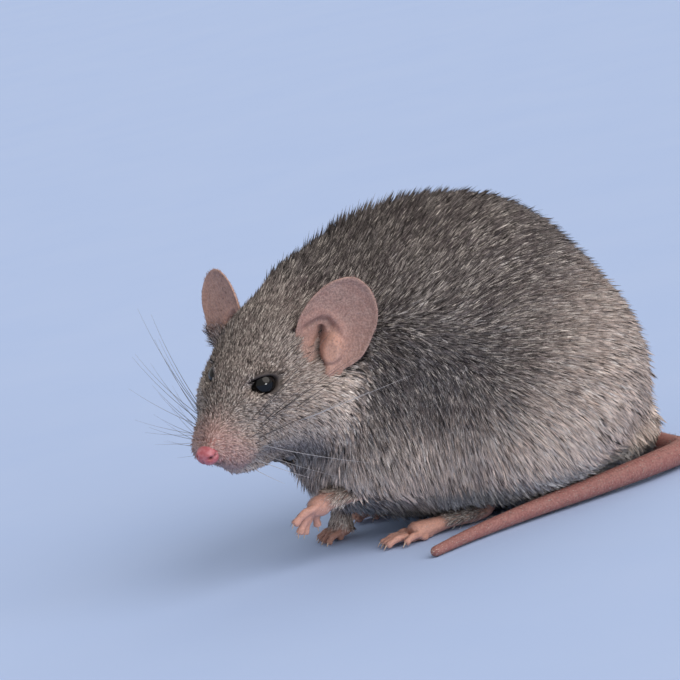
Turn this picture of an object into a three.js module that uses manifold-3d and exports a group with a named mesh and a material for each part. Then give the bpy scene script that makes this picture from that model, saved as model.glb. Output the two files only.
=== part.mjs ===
// House mouse, life size, crouched on the floor with its head turned to the left, one forepaw
// lifted and the tail laid forward along the left side.
// Units are millimetres. +Z is up, the nose points to -X and the mouse's left side is -Y.
// The solids reach to the tips of the coat, and neighbouring parts keep a thin gap.
import * as THREE from 'three';
import { mergeVertices } from 'three/addons/utils/BufferGeometryUtils.js';
import Module from 'manifold-3d';

const wasm = await Module();
wasm.setup();

// ---------------------------------------------------------------- driving dimensions
const GAP = 0.3;             // between neighbouring parts
const HEAD_LENGTH = 21.4;    // nose tip to the point midway between the ears
const EAR_HEIGHT = 13.8;
const EAR_WIDTH = 11.8;
const EAR_THICKNESS = 0.8;
const EYE_RADIUS = 1.75;
const FOOT_LENGTH = 17;      // hind foot, heel to claws
const TAIL_BASE_RADIUS = 1.95;
const TAIL_TIP_RADIUS = 0.75;
const TAIL_PARTS = 5;
const SIDES = { left: -1, right: 1 };

// Cell sizes of the meshes of the furred masses, and the smallest detail that is kept.
const HEAD_CELL = 1.75;
const BODY_CELL = 3.4;
const FINE = 0.07;
const COARSE = 0.24;

// The head's own frame: its origin lies midway between the ears, and the nose is on its -X.
const HEAD_AT = new THREE.Vector3(-16.6, -4.0, 30.0);
const HEAD_TURN = new THREE.Euler(rad(17), rad(-25), rad(35), 'ZYX');

// Each ear's lowest point, the way it rises and the way its hollow faces, in the head's frame.
const EARS = {
  left: { root: [-1.4, -7.2, -1.2], upward: [0.54, -0.26, 0.8], hollow: [-0.82, -0.5, 0.28] },
  right: { root: [-0.4, 5.3, -2.9], upward: [0.43, 0.37, 0.79], hollow: [-0.82, 0.5, 0.28] },
};

const SKIN_PINK = 0xb98a84;
const PAW_PINK = 0xc9948a;
const NOSE_PINK = 0xc7837d;
const EYE_BLACK = 0x0a0a0c;
const COAT = { back: 0x6f665e, face: 0x7d7268, flank: 0x85796c };

// ---------------------------------------------------------------- small helpers
function rad(degrees) {
  return degrees * Math.PI / 180;
}

function vec(x, y, z) {
  return new THREE.Vector3(x, y, z);
}

const headMatrix = new THREE.Matrix4().compose(
  HEAD_AT, new THREE.Quaternion().setFromEuler(HEAD_TURN), vec(1, 1, 1));
const intoHead = headMatrix.clone().invert();

// ---------------------------------------------------------------- rounded masses
// Each mass is a function from a point to its rough distance outside the surface.
function ellipsoid(centre, radii, pitch = 0) {
  const [c, s] = [Math.cos(rad(pitch)), Math.sin(rad(pitch))];
  return (p) => {
    const [x, y, z] = [p.x - centre[0], p.y - centre[1], p.z - centre[2]];
    const [u, w] = [c * x + s * z, c * z - s * x];
    const near = Math.hypot(u / radii[0], y / radii[1], w / radii[2]);
    const far = Math.hypot(u / radii[0] ** 2, y / radii[1] ** 2, w / radii[2] ** 2);
    return near * (near - 1) / Math.max(far, 1e-9);
  };
}

// A rod with round ends whose radius changes evenly from one end to the other.
function rod(from, to, fromRadius, toRadius) {
  const [a, b] = [vec(...from), vec(...to)];
  const along = b.clone().sub(a);
  return (p) => {
    const t = THREE.MathUtils.clamp(
      p.clone().sub(a).dot(along) / along.lengthSq(), 0, 1);
    return p.distanceTo(a.clone().addScaledVector(along, t))
      - THREE.MathUtils.lerp(fromRadius, toRadius, t);
  };
}

function pair(make) {
  return Object.values(SIDES).map(make);
}

// Masses melted together: the larger the softness, the wider the fillet between them.
function melt(softness, masses) {
  return (p) => {
    let d = Infinity;
    for (const mass of masses) {
      const next = mass(p);
      const h = Math.max(softness - Math.abs(d - next), 0) / softness;
      d = Math.min(d, next) - (Number.isFinite(h) ? h * h * softness / 4 : 0);
    }
    return d;
  };
}

// ---------------------------------------------------------------- the animal's outer form
const skull = melt(2, [
  ellipsoid([-1.8, 0, 0.8], [9.4, 8.0, 7.1], 8),                     // cranium
  ellipsoid([-9.0, 0, 1.6], [6.6, 6.3, 4.8], 14),                    // brow and eye sockets
  rod([-10, 0, 1.0], [-19.2, 0, -1.0], 4.8, 2.0),                    // bridge of the nose
  ...pair((side) => ellipsoid([-15.8, side * 2.1, -2.7], [4.4, 2.9, 3.0], 12)),  // whisker pads
  ...pair((side) => ellipsoid([-6, side * 4.6, -3.0], [7.4, 4.4, 5.4], 10)),     // cheeks
  rod([-5, 0, -6.0], [-14.2, 0, -5.3], 4.8, 3.0),                    // lower jaw to the chin
]);

const body = melt(4.5, [
  ellipsoid([8.2, 0, 26.1], [22.8, 16.4, 19.2], 0),                    // ribs under the arched back
  ellipsoid([18.5, 0, 16.8], [18.3, 16.6, 17.7], 0),                     // loins and rump
  ellipsoid([6, 0, 12.5], [19, 14.5, 12.2], 0),                      // belly
  ellipsoid([-5, 0, 24], [12.8, 10.2, 18], -8),                      // shoulders
  ellipsoid([-8, -0.5, 13.8], [8.4, 8.8, 8.6], 0),                       // breast
  ...pair((side) => ellipsoid([14, side * 10.5, 14.5], [14, 8.6, 13.5], 0)),     // haunches
  ...pair((side) => ellipsoid([-6.5, side * 8.6, 15.5], [6.5, 4.8, 8], 0)),      // upper arms
]);

function headDistance(p) {
  return skull(p.clone().applyMatrix4(intoHead));
}

const nape = ellipsoid([-12.4, -1.8, 30], [9, 7.2, 10], 0);
const meltedFlesh = melt(6, [body, nape, headDistance]);

// The coat lies lower round the root of each ear.
const earDents = Object.values(EARS).map(({ root, upward }) =>
  vec(...root).addScaledVector(vec(...upward), 5).applyMatrix4(headMatrix));

function flesh(p) {
  return earDents.reduce(
    (d, centre) => d + 2.2 * Math.exp(-centre.distanceToSquared(p) / 30), meltedFlesh(p));
}

// ---------------------------------------------------------------- turning a form into a mesh
// Surface nets: one vertex in each grid cell that the surface crosses, and one quad across
// each grid edge that it crosses. The result is closed where the box cuts the form.
function skinOver(distance, low, high, cell) {
  const size = [0, 1, 2].map((k) => Math.ceil((high[k] - low[k]) / cell) + 3);
  const at = (k, i) => low[k] + (i - 1) * cell;
  const index = (i, j, k) => (i * size[1] + j) * size[2] + k;
  const value = new Float64Array(size[0] * size[1] * size[2]);
  const inBox = (p) => Math.max(
    low[0] - p.x, p.x - high[0], low[1] - p.y, p.y - high[1], low[2] - p.z, p.z - high[2]);
  const shape = (p) => Math.max(distance(p), inBox(p));
  for (let i = 0; i < size[0]; i++)
    for (let j = 0; j < size[1]; j++)
      for (let k = 0; k < size[2]; k++)
        value[index(i, j, k)] = shape(vec(at(0, i), at(1, j), at(2, k))) + 1e-6;

  const corners = [];
  for (let c = 0; c < 8; c++) corners.push([c & 1, (c >> 1) & 1, (c >> 2) & 1]);
  const edges = [];
  for (let a = 0; a < 8; a++)
    for (const step of [1, 2, 4]) if (!(a & step)) edges.push([a, a | step]);

  const vertexOf = new Map();
  const positions = [];
  const settle = (p) => {
    // Two steps along the slope bring the vertex onto the surface.
    const e = cell * 0.05;
    for (let turn = 0; turn < 3; turn++) {
      const d = shape(p);
      const slope = vec(
        shape(vec(p.x + e, p.y, p.z)) - shape(vec(p.x - e, p.y, p.z)),
        shape(vec(p.x, p.y + e, p.z)) - shape(vec(p.x, p.y - e, p.z)),
        shape(vec(p.x, p.y, p.z + e)) - shape(vec(p.x, p.y, p.z - e))).divideScalar(2 * e);
      const steep = slope.lengthSq();
      if (steep < 1e-6) break;
      p.addScaledVector(slope, -THREE.MathUtils.clamp(d / steep, -cell / 4, cell / 4));
    }
    return p;
  };
  for (let i = 0; i < size[0] - 1; i++)
    for (let j = 0; j < size[1] - 1; j++)
      for (let k = 0; k < size[2] - 1; k++) {
        const v = corners.map(([a, b, c]) => value[index(i + a, j + b, k + c)]);
        if (v.every((x) => x > 0) || v.every((x) => x < 0)) continue;
        const middle = vec(0, 0, 0);
        let crossings = 0;
        for (const [a, b] of edges) {
          if (v[a] > 0 === v[b] > 0) continue;
          const t = v[a] / (v[a] - v[b]);
          middle.add(vec(...corners[a]).lerp(vec(...corners[b]), t));
          crossings++;
        }
        middle.divideScalar(crossings);
        vertexOf.set(index(i, j, k), positions.length / 3);
        const p = vec(at(0, i + middle.x), at(1, j + middle.y), at(2, k + middle.z));
        positions.push(...settle(p));
      }

  const faces = [];
  const quad = (a, b, c, d, outward) => {
    const q = outward ? [a, b, c, d] : [a, d, c, b];
    const corner = q.map((n) => vec(...positions.slice(3 * n, 3 * n + 3)));
    const split = corner[0].distanceTo(corner[2]) < corner[1].distanceTo(corner[3]);
    if (split) faces.push(q[0], q[1], q[2], q[0], q[2], q[3]);
    else faces.push(q[1], q[2], q[3], q[1], q[3], q[0]);
  };
  for (let i = 1; i < size[0] - 1; i++)
    for (let j = 1; j < size[1] - 1; j++)
      for (let k = 1; k < size[2] - 1; k++) {
        const here = value[index(i, j, k)] > 0;
        const cellAt = (a, b, c) => vertexOf.get(index(i - a, j - b, k - c));
        if (here !== value[index(i + 1, j, k)] > 0)
          quad(cellAt(0, 1, 1), cellAt(0, 0, 1), cellAt(0, 0, 0), cellAt(0, 1, 0), !here);
        if (here !== value[index(i, j + 1, k)] > 0)
          quad(cellAt(1, 0, 1), cellAt(1, 0, 0), cellAt(0, 0, 0), cellAt(0, 0, 1), !here);
        if (here !== value[index(i, j, k + 1)] > 0)
          quad(cellAt(1, 1, 0), cellAt(0, 1, 0), cellAt(0, 0, 0), cellAt(1, 0, 0), !here);
      }
  const geometry = new THREE.BufferGeometry();
  geometry.setAttribute('position', new THREE.Float32BufferAttribute(positions, 3));
  geometry.setIndex(faces);
  return geometry;
}

// A round tube along a smooth curve through the points, closed by round ends. Radii are
// given at the points; flatten squashes its height.
function taperedTube(points, radii, sides, steps, { flatten = 1, capRings = 1 } = {}) {
  const curve = new THREE.CatmullRomCurve3(points.map((p) => vec(...p)), false, 'centripetal');
  const frames = curve.computeFrenetFrames(steps, false);
  const radiusAt = (t) => {
    const s = t * (radii.length - 1);
    const n = Math.min(Math.floor(s), radii.length - 2);
    return THREE.MathUtils.lerp(radii[n], radii[n + 1], s - n);
  };
  const rings = [];
  const addRing = (step, shift, scale) => {
    const centre = curve.getPointAt(step / steps)
      .addScaledVector(frames.tangents[step], shift);
    rings.push({ centre, step, radius: radiusAt(step / steps) * scale });
  };
  for (let n = 0; n < capRings; n++) {
    const angle = (n + 1) / (capRings + 1) * Math.PI / 2;
    addRing(0, -radiusAt(0) * Math.cos(angle), Math.sin(angle));
  }
  for (let step = 0; step <= steps; step++) addRing(step, 0, 1);
  for (let n = capRings - 1; n >= 0; n--) {
    const angle = (n + 1) / (capRings + 1) * Math.PI / 2;
    addRing(steps, radiusAt(1) * Math.cos(angle), Math.sin(angle));
  }
  const positions = [];
  const level = vec(0, 0, 1);
  for (const { centre, step, radius } of rings) {
    const forward = frames.tangents[step];
    const side = forward.clone().cross(level);
    if (side.lengthSq() < 0.01) side.set(1, 0, 0);
    side.normalize();
    const up = side.clone().cross(forward);
    for (let n = 0; n < sides; n++) {
      const angle = n / sides * 2 * Math.PI;
      positions.push(...centre.clone()
        .addScaledVector(side, radius * Math.cos(angle))
        .addScaledVector(up, radius * flatten * Math.sin(angle)));
    }
  }
  const faces = [];
  for (let r = 0; r < rings.length - 1; r++)
    for (let n = 0; n < sides; n++) {
      const [a, b] = [r * sides + n, r * sides + (n + 1) % sides];
      faces.push(a, a + sides, b, b, a + sides, b + sides);
    }
  const tips = [curve.getPointAt(0).addScaledVector(frames.tangents[0], -radiusAt(0)),
    curve.getPointAt(1).addScaledVector(frames.tangents[steps], radiusAt(1))];
  const first = positions.length / 3;
  positions.push(...tips[0], ...tips[1]);
  const last = (rings.length - 1) * sides;
  for (let n = 0; n < sides; n++) {
    const next = (n + 1) % sides;
    faces.push(first, n, next);
    faces.push(first + 1, last + next, last + n);
  }
  const geometry = new THREE.BufferGeometry();
  geometry.setAttribute('position', new THREE.Float32BufferAttribute(positions, 3));
  geometry.setIndex(faces);
  return geometry;
}

// ---------------------------------------------------------------- cutting and joining
function solid(geometry, matrix = new THREE.Matrix4()) {
  const bare = new THREE.BufferGeometry();
  bare.setAttribute('position', geometry.getAttribute('position').clone());
  bare.setIndex(geometry.index);
  bare.applyMatrix4(matrix);
  const merged = mergeVertices(bare, 1e-4);
  const made = new wasm.Manifold(new wasm.Mesh({
    numProp: 3,
    vertProperties: merged.attributes.position.array,
    triVerts: new Uint32Array(merged.index.array),
  }));
  return made;
}

function geometryOf(made) {
  const mesh = made.getMesh();
  const geometry = new THREE.BufferGeometry();
  geometry.setAttribute('position',
    new THREE.BufferAttribute(new Float32Array(mesh.vertProperties), 3));
  geometry.setIndex(new THREE.BufferAttribute(new Uint32Array(mesh.triVerts), 1));
  geometry.computeVertexNormals();
  return geometry;
}

// The largest body of a cut piece: slivers that a cut leaves over are dropped.
function largest(made) {
  return made.decompose().reduce((a, b) => (a.volume() > b.volume() ? a : b));
}

function block(low, high, matrix) {
  const size = high.map((h, k) => h - low[k]);
  const middle = high.map((h, k) => (h + low[k]) / 2);
  return solid(new THREE.BoxGeometry(...size).translate(...middle), matrix);
}

function ball(centre, radii, matrix, detail = 20) {
  const sphere = new THREE.SphereGeometry(1, detail, Math.round(detail * 0.6));
  sphere.deleteAttribute('uv');
  sphere.deleteAttribute('normal');
  return solid(sphere.scale(...radii).translate(...centre), matrix);
}

const floor = block([-90, -90, -20], [90, 90, 0]);
const mouse = new THREE.Group();

function add(name, made, colour, roughness = 0.8, detail = FINE) {
  const material = new THREE.MeshStandardMaterial({ color: colour, roughness, metalness: 0 });
  const mesh = new THREE.Mesh(geometryOf(made.simplify(detail)), material);
  mesh.name = name;
  mouse.add(mesh);
  return mesh;
}

// The space beyond a cut that is square to a limb, starting a little past it.
function beyond({ at, along }, shift, reach = 12) {
  const turn = new THREE.Quaternion().setFromUnitVectors(vec(1, 0, 0), along);
  const matrix = new THREE.Matrix4().compose(at, turn, vec(1, 1, 1));
  return block([shift, -reach, -reach], [shift + reach, reach, reach], matrix);
}

// ---------------------------------------------------------------- ears and eyes
// A pinna is a thin lens bent to a cup, narrow at its root, hollow side facing forward.
function pinna(side, grown = 0) {
  const lens = new THREE.SphereGeometry(1, 16, 9);
  const place = lens.attributes.position;
  for (let n = 0; n < place.count; n++) {
    const [x, y, z] = [place.getX(n), place.getY(n), place.getZ(n)];
    const height = (z + 1) / 2;
    const waist = 0.62 + 0.38 * Math.sin(Math.min(height * 1.5, 1) * Math.PI / 2);
    const wide = y * waist * (EAR_WIDTH / 2 + grown);
    const up = z * (EAR_HEIGHT / 2 + grown) + EAR_HEIGHT / 2;
    const cup = 0.05 * wide * wide + 0.018 * (up - 6) * (up - 6);
    place.setXYZ(n, x * (EAR_THICKNESS / 2 + grown) + cup, wide, up);
  }
  // The ear's own axes: it points up, out and back, and its hollow faces forward.
  const { root, upward: rise, hollow } = EARS[side < 0 ? 'left' : 'right'];
  const upward = vec(...rise).normalize();
  const across = upward.clone().cross(vec(...hollow)).normalize();
  const forward = across.clone().cross(upward);
  const local = new THREE.Matrix4().makeBasis(forward, across, upward)
    .setPosition(...root);
  lens.deleteAttribute('uv');
  lens.deleteAttribute('normal');
  return solid(lens, headMatrix.clone().multiply(local));
}

function eyeball(side, grown = 0) {
  const radius = EYE_RADIUS + grown;
  return ball([-9.9, side * 3.9, 3.1], [radius, radius, radius], headMatrix, 14);
}

function nosePad(grown = 0) {
  const radii = [1.2, 1.5, 1.15].map((r) => r + grown);
  return ball([-HEAD_LENGTH + 0.7, 0, -1.2], radii, headMatrix, 10);
}

// ---------------------------------------------------------------- legs and paws
const FORELEG = {
  left: { elbow: [-4.5, -8.5, 10.5], wrist: [-12.2, -7.2, 8.4], radii: [3.2, 1.7] },
  right: { elbow: [-4.5, 8, 9.5], wrist: [-10.2, 3.8, 4.4], radii: [3.2, 1.6] },
};

function foreleg(which, grown = 0) {
  const { elbow, wrist, radii } = FORELEG[which];
  const knee = elbow.map((e, k) => (e + wrist[k]) / 2 - (k === 2 ? 0.6 : 0));
  return solid(taperedTube([elbow, knee, wrist],
    [radii[0], (radii[0] + radii[1]) / 2, radii[1]].map((r) => r + grown), 10, 4));
}

// A digit is a bent tube that ends in its claw.
function digit(root, knuckle, tip, radius) {
  const claw = tip.map((t, k) => t + (t - knuckle[k]) * 0.22);
  claw[2] -= 0.25;
  return solid(taperedTube([root, knuckle, tip, claw],
    [radius, radius * 0.95, radius * 0.85, 0.26], 6, 3));
}

function joined(solids) {
  return solids.reduce((a, b) => a.add(b));
}

// The forepaws have four toes. The left paw is lifted and its toes fan out forward and down;
// the right paw stands with its toes fanned over the floor.
const FOREPAW = {
  left: {
    palm: [-3.8, -0.2, -0.5],
    toe: (n) => {
      const angle = rad(28 + 15 * n);
      return vec(-Math.cos(angle), 0.16 * (n - 1.5), -Math.sin(angle)).multiplyScalar(3.9);
    },
  },
  right: {
    palm: [-1.5, -0.2, -3.1],
    toe: (n) => {
      const angle = rad(17 * (n - 1.5));
      return vec(-3.3 * Math.cos(angle), 3.3 * Math.sin(angle), -0.85);
    },
  },
};

function forepaw(which) {
  const wrist = FORELEG[which].wrist;
  const palm = wrist.map((w, k) => w + FOREPAW[which].palm[k]);
  const solids = [solid(taperedTube([wrist, palm], [1.25, 1.7], 8, 2, { flatten: 0.8 }))];
  for (let n = 0; n < 4; n++) {
    const toe = FOREPAW[which].toe(n);
    const root = vec(...palm).addScaledVector(toe, 0.15);
    root.y += (n - 1.5) * 0.75;
    const tip = root.clone().add(toe);
    const knuckle = root.clone().lerp(tip, 0.5);
    knuckle.z += 0.3;
    solids.push(digit(root.toArray(), knuckle.toArray(), tip.toArray(), 0.55));
  }
  return joined(solids).subtract(floor).intersect(beyond(wristCut(which), GAP / 2));
}

function pawHollow(which) {
  const wrist = FORELEG[which].wrist;
  const palm = wrist.map((w, k) => w + FOREPAW[which].palm[k]);
  return solid(taperedTube([wrist, palm], [2, 2.6], 8, 2));
}

// Where the wrist is parted: square to the forearm.
function wristCut(which) {
  const { elbow, wrist } = FORELEG[which];
  const along = vec(...wrist).sub(vec(...elbow)).normalize();
  return { at: vec(...wrist), along };
}

// The hind foot lies along the floor from heel to toes, and has five toes.
const HEEL = { left: [6.6, -8.6, 1.5], right: [8.4, 9.6, 1.5] };

function hindfoot(which) {
  const side = SIDES[which];
  const [x, y, z] = HEEL[which];
  const ballOfFoot = [x - FOOT_LENGTH * 0.68, y + side * 0.8, 1.25];
  const middle = [x - FOOT_LENGTH * 0.34, y + side * 0.3, 1.4];
  const sole = taperedTube([[x, y, z], middle, ballOfFoot], [1.45, 1.5, 1.9], 10, 4, { flatten: 0.8 });
  const solids = [solid(sole)];
  for (let n = 0; n < 5; n++) {
    const spread = n - 2;
    const outer = Math.abs(spread) === 2;
    const root = [ballOfFoot[0] + (outer ? 0.9 : -0.6), ballOfFoot[1] + spread * 0.8, 1.1];
    const reach = outer ? 2.9 : 3.7;
    const tip = [root[0] - reach, root[1] + spread * 0.55, 0.45];
    const knuckle = [(root[0] + tip[0]) / 2, (root[1] + tip[1]) / 2, 1.05];
    solids.push(digit(root, knuckle, tip, 0.62));
  }
  return joined(solids).subtract(floor);
}

// ---------------------------------------------------------------- the tail
// From the rump round to the left, then forward along the floor.
const TAIL_ROUTE = [
  [30, 1.5, 5.2], [34.2, 0.4, 4.6], [37.2, -3.2, 3.6], [36.4, -8.4, 2.8], [30.8, -11.8, 2.2],
  [21.6, -14, 1.85], [13.2, -15.6, 1.6], [6.1, -17.2, 1.3], [-0.3, -19.2, 1.05], [-6.3, -21.8, 0.7],
];

function tailLength(part) {
  const curve = new THREE.CatmullRomCurve3(TAIL_ROUTE.map((p) => vec(...p)), false, 'centripetal');
  const radiusAt = (t) => THREE.MathUtils.lerp(TAIL_BASE_RADIUS, TAIL_TIP_RADIUS, t ** 1.4);
  const from = part / TAIL_PARTS;
  const to = (part + 1) / TAIL_PARTS;
  const points = [];
  const radii = [];
  const steps = 5;
  for (let n = 0; n <= steps; n++) {
    const t = THREE.MathUtils.lerp(from, to, n / steps);
    points.push(curve.getPointAt(t).toArray());
    radii.push(radiusAt(t));
  }
  const tube = solid(taperedTube(points, radii, 10, 5));
  const cut = { at: curve.getPointAt(to), along: curve.getTangentAt(to) };
  return { tube, end: part === TAIL_PARTS - 1 ? null : cut };
}

// ---------------------------------------------------------------- regions of the coat
// The head and the neck end in two rounded shells about the head; the thigh is a round drum.
function headRegion(grown = 0) {
  return ball([-9.5, 0, -0.5], [15.5, 13, 11.5].map((r) => r + grown), headMatrix, 22);
}

function neckRegion(grown = 0) {
  return ball([-7.5, 0, -1.5], [19, 15.5, 15.5].map((r) => r + grown), headMatrix, 22);
}

function thighRegion(side, grown = 0) {
  const outer = 13.2 + grown;
  const drum = new THREE.CylinderGeometry(outer, outer - 1.5, 20, 28);
  drum.deleteAttribute('uv');
  drum.deleteAttribute('normal');
  drum.scale(1, side, 1);
  if (side < 0) drum.index.array.reverse();
  return solid(drum.translate(14.5, side * (19.5 - grown), 13.5));
}

// The hollow over a hind foot, wider than the foot by the gap.
function footHollow(which) {
  const side = SIDES[which];
  const [x, y] = HEEL[which];
  const route = [[x + 1, y, 1.0], [x - 6, y + side * 0.6, 1.0],
    [x - 13, y + side * 1.6, 1.0], [x - 18, y + side * 1.8, 0.8]];
  return solid(taperedTube(route, [2.1, 2.2, 2.9, 3.6], 12, 5, { flatten: 0.85 }));
}

// The hollow that the tail lies in, from its root to where it leaves the flank.
function tailHollow() {
  const widths = TAIL_ROUTE.map((point, n) => {
    const t = n / (TAIL_ROUTE.length - 1);
    return THREE.MathUtils.lerp(TAIL_BASE_RADIUS, TAIL_TIP_RADIUS, t ** 1.4) + 1.6 * GAP;
  });
  return solid(taperedTube(TAIL_ROUTE, widths, 10, 24));
}

// ---------------------------------------------------------------- building the parts
function addEarsAndEyes() {
  for (const [which, side] of Object.entries(SIDES)) {
    add(`ear_${which}`, pinna(side), SKIN_PINK, 0.6);
    add(`eye_${which}`, eyeball(side), EYE_BLACK, 0.1);
  }
  add('nose', nosePad(), NOSE_PINK, 0.5);
}

function addPaws() {
  for (const which of Object.keys(SIDES)) {
    add(`foreleg_${which}`, foreleg(which).subtract(beyond(wristCut(which), -GAP / 2)), COAT.flank);
    add(`forepaw_${which}`, forepaw(which), PAW_PINK, 0.55);
    add(`hindfoot_${which}`, hindfoot(which), PAW_PINK, 0.55);
  }
}

function addTail() {
  let before = null;
  for (let part = 0; part < TAIL_PARTS; part++) {
    const { tube, end } = tailLength(part);
    let piece = tube.subtract(floor);
    if (before) piece = piece.intersect(beyond(before, GAP / 2));
    if (end) piece = piece.subtract(beyond(end, -GAP / 2));
    add(`tail_${part + 1}`, largest(piece), SKIN_PINK, 0.6);
    before = end;
  }
}

// What stands in the coat is hollowed out of it, with the gap all round.
function hollows(which) {
  const side = SIDES[which];
  return joined([foreleg(which, GAP), pawHollow(which), footHollow(which), pinna(side, GAP),
    eyeball(side, GAP)]);
}

function addCoat() {
  const headMass = solid(skinOver(flesh, [-38, -22, 8], [-4, 14, 44], HEAD_CELL));
  const bodyMass = solid(skinOver(flesh, [-30, -24, -4], [44, 24, 52], BODY_CELL));
  const hollow = joined([hollows('left'), hollows('right'), nosePad(GAP), tailHollow(), floor]);
  const head = headMass.intersect(headRegion()).subtract(hollow);
  const neck = bodyMass.intersect(neckRegion()).subtract(headRegion(GAP)).subtract(hollow);
  let trunk = bodyMass.subtract(neckRegion(GAP)).subtract(hollow);
  for (const [which, side] of Object.entries(SIDES)) {
    const thigh = trunk.intersect(thighRegion(side));
    trunk = trunk.subtract(thighRegion(side, GAP));
    add(`hindleg_${which}`, largest(thigh), COAT.flank, 0.9, COARSE);
  }
  add('head', largest(head), COAT.face, 0.9, COARSE / 2);
  add('neck', largest(neck), COAT.back, 0.9, COARSE);
  add('trunk', largest(trunk), COAT.back, 0.9, COARSE);
}

addEarsAndEyes();
addPaws();
addTail();
addCoat();

// The origin is on the floor under the middle of the whole animal.
const box = new THREE.Box3().setFromObject(mouse);
mouse.position.set(-(box.min.x + box.max.x) / 2, -(box.min.y + box.max.y) / 2, -box.min.z);

export default mouse;
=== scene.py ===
import math

import bmesh
import bpy
import numpy as np
from bpy.props import FloatProperty, FloatVectorProperty, PointerProperty
from mathutils import Matrix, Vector
from mathutils.bvhtree import BVHTree
from mathutils.kdtree import KDTree


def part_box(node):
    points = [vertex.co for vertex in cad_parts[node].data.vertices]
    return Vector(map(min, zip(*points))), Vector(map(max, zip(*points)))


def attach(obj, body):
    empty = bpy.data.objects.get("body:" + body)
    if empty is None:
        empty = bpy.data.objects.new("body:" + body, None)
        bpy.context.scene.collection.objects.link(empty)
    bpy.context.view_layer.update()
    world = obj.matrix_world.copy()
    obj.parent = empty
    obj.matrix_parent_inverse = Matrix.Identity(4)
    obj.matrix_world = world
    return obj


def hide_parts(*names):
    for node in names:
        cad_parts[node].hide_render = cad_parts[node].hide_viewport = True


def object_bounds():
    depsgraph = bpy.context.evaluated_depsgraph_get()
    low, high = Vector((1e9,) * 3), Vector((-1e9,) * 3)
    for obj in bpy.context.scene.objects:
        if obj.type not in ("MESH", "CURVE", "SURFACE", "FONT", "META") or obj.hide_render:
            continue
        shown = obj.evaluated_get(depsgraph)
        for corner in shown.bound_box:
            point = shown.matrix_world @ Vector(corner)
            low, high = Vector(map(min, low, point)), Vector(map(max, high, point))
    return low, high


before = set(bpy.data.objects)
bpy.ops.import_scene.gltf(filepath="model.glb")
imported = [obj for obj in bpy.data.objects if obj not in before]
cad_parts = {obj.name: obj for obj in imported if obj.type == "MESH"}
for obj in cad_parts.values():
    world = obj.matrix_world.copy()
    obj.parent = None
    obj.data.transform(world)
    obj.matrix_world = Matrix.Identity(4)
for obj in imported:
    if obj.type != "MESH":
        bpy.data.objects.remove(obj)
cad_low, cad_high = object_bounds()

bl_info = {
    "name": "House mouse",
    "version": (1, 0, 0),
    "blender": (4, 5, 0),
    "location": "View3D > Sidebar > Mouse",
    "description": "Skin, eyes, nose, claws, whiskers and coat of a life-size house mouse",
    "category": "Object",
}

# Shapes are worked out in millimetres, in the frame's own axes, and turned to metres at the end.
MM = 0.001
SIDES = {"left": -1, "right": 1}
FLESH = ("head", "neck", "trunk", "foreleg_left", "foreleg_right", "hindleg_left", "hindleg_right")
PAWS = ("forepaw_left", "forepaw_right", "hindfoot_left", "hindfoot_right")
TAIL_NODES = tuple(f"tail_{n}" for n in range(1, 6))
FLOOR_GAP = 0.06
BODY_MIDDLE, BODY_HEIGHT = 2, 20      # Y and Z of the middle of the body


# ---------------------------------------------------------------- numbers
def linear(colour):
    """Turns a hex sRGB colour such as "#6f665e" to linear red, green and blue."""
    values = [int(colour[n:n + 2], 16) / 255 for n in (1, 3, 5)]
    return tuple(v / 12.92 if v <= 0.04045 else ((v + 0.055) / 1.055) ** 2.4 for v in values)


def smooth(start, end, value):
    """0 before start and 1 after end, with a smooth rise between them; start may be the larger."""
    t = np.clip((value - start) / (end - start), 0, 1)
    return t * t * (3 - 2 * t)


def mix(a, b, t):
    return a + (b - a) * t


def unit(vectors):
    vectors = np.asarray(vectors, float)
    return vectors / np.maximum(np.linalg.norm(vectors, axis=-1, keepdims=True), 1e-9)


def dot(a, b):
    return np.sum(a * b, axis=-1, keepdims=True)


def bell(*gaps):
    """1 where every gap is 0, falling smoothly to nothing about two away."""
    return np.exp(-sum(gap * gap for gap in gaps))


def bump_at(points, centre, radius):
    """1 at the centre, falling smoothly to nothing about two radii away."""
    return bell(*((points - np.asarray(centre, float)) / radius).T)


def on_line(points, line, width):
    """1 on a bent line of places, falling smoothly to nothing about two widths from it."""
    nearest = np.full(len(points), 1e9)
    line = np.asarray(line, float)
    for a, b in zip(line[:-1], line[1:]):
        t = np.clip(((points - a) @ (b - a)) / ((b - a) @ (b - a)), 0, 1)
        nearest = np.minimum(nearest, np.linalg.norm(points - a - t[:, None] * (b - a), axis=1))
    return bell(nearest / width)


# ---------------------------------------------------------------- places from the frame
def box(node):
    """Lowest and highest corner of a CAD node, in millimetres."""
    low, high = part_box(node)
    return np.array(low) / MM, np.array(high) / MM


def at(node, *shares):
    """The point that lies at the given shares of a CAD node's box."""
    low, high = box(node)
    return low + (high - low) * np.array(shares)


EYES = {which: at(f"eye_{which}", 0.5, 0.5, 0.5) for which in SIDES}
EYE_RADIUS = 1.08 * float(np.mean([np.ptp(box(f"eye_{which}"), axis=0) / 2 for which in SIDES]))
NOSE = at("nose", 0.5, 0.5, 0.5)
NOSE_RADII = (1.35, 1.65, 1.3)
MUZZLE_DIP = math.radians(21.7)      # of the nose below the eyes, in the head's own frame
EYE_LINE = np.array((-9.9, 0.0, 3.1))  # midway between the eyes, in the head's own frame


def head_frame():
    """The head's axes, backward, right and up, as rows, and its origin midway between the ears."""
    right = unit(EYES["right"] - EYES["left"])
    middle = (EYES["right"] + EYES["left"]) / 2
    ahead = NOSE - middle
    ahead = unit(ahead - right * (ahead @ right))
    above = np.cross(right, ahead)
    back = -math.cos(MUZZLE_DIP) * ahead - math.sin(MUZZLE_DIP) * above
    up = -math.sin(MUZZLE_DIP) * ahead + math.cos(MUZZLE_DIP) * above
    axes = np.array([back, right, up])
    return axes, middle - EYE_LINE @ axes


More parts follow.
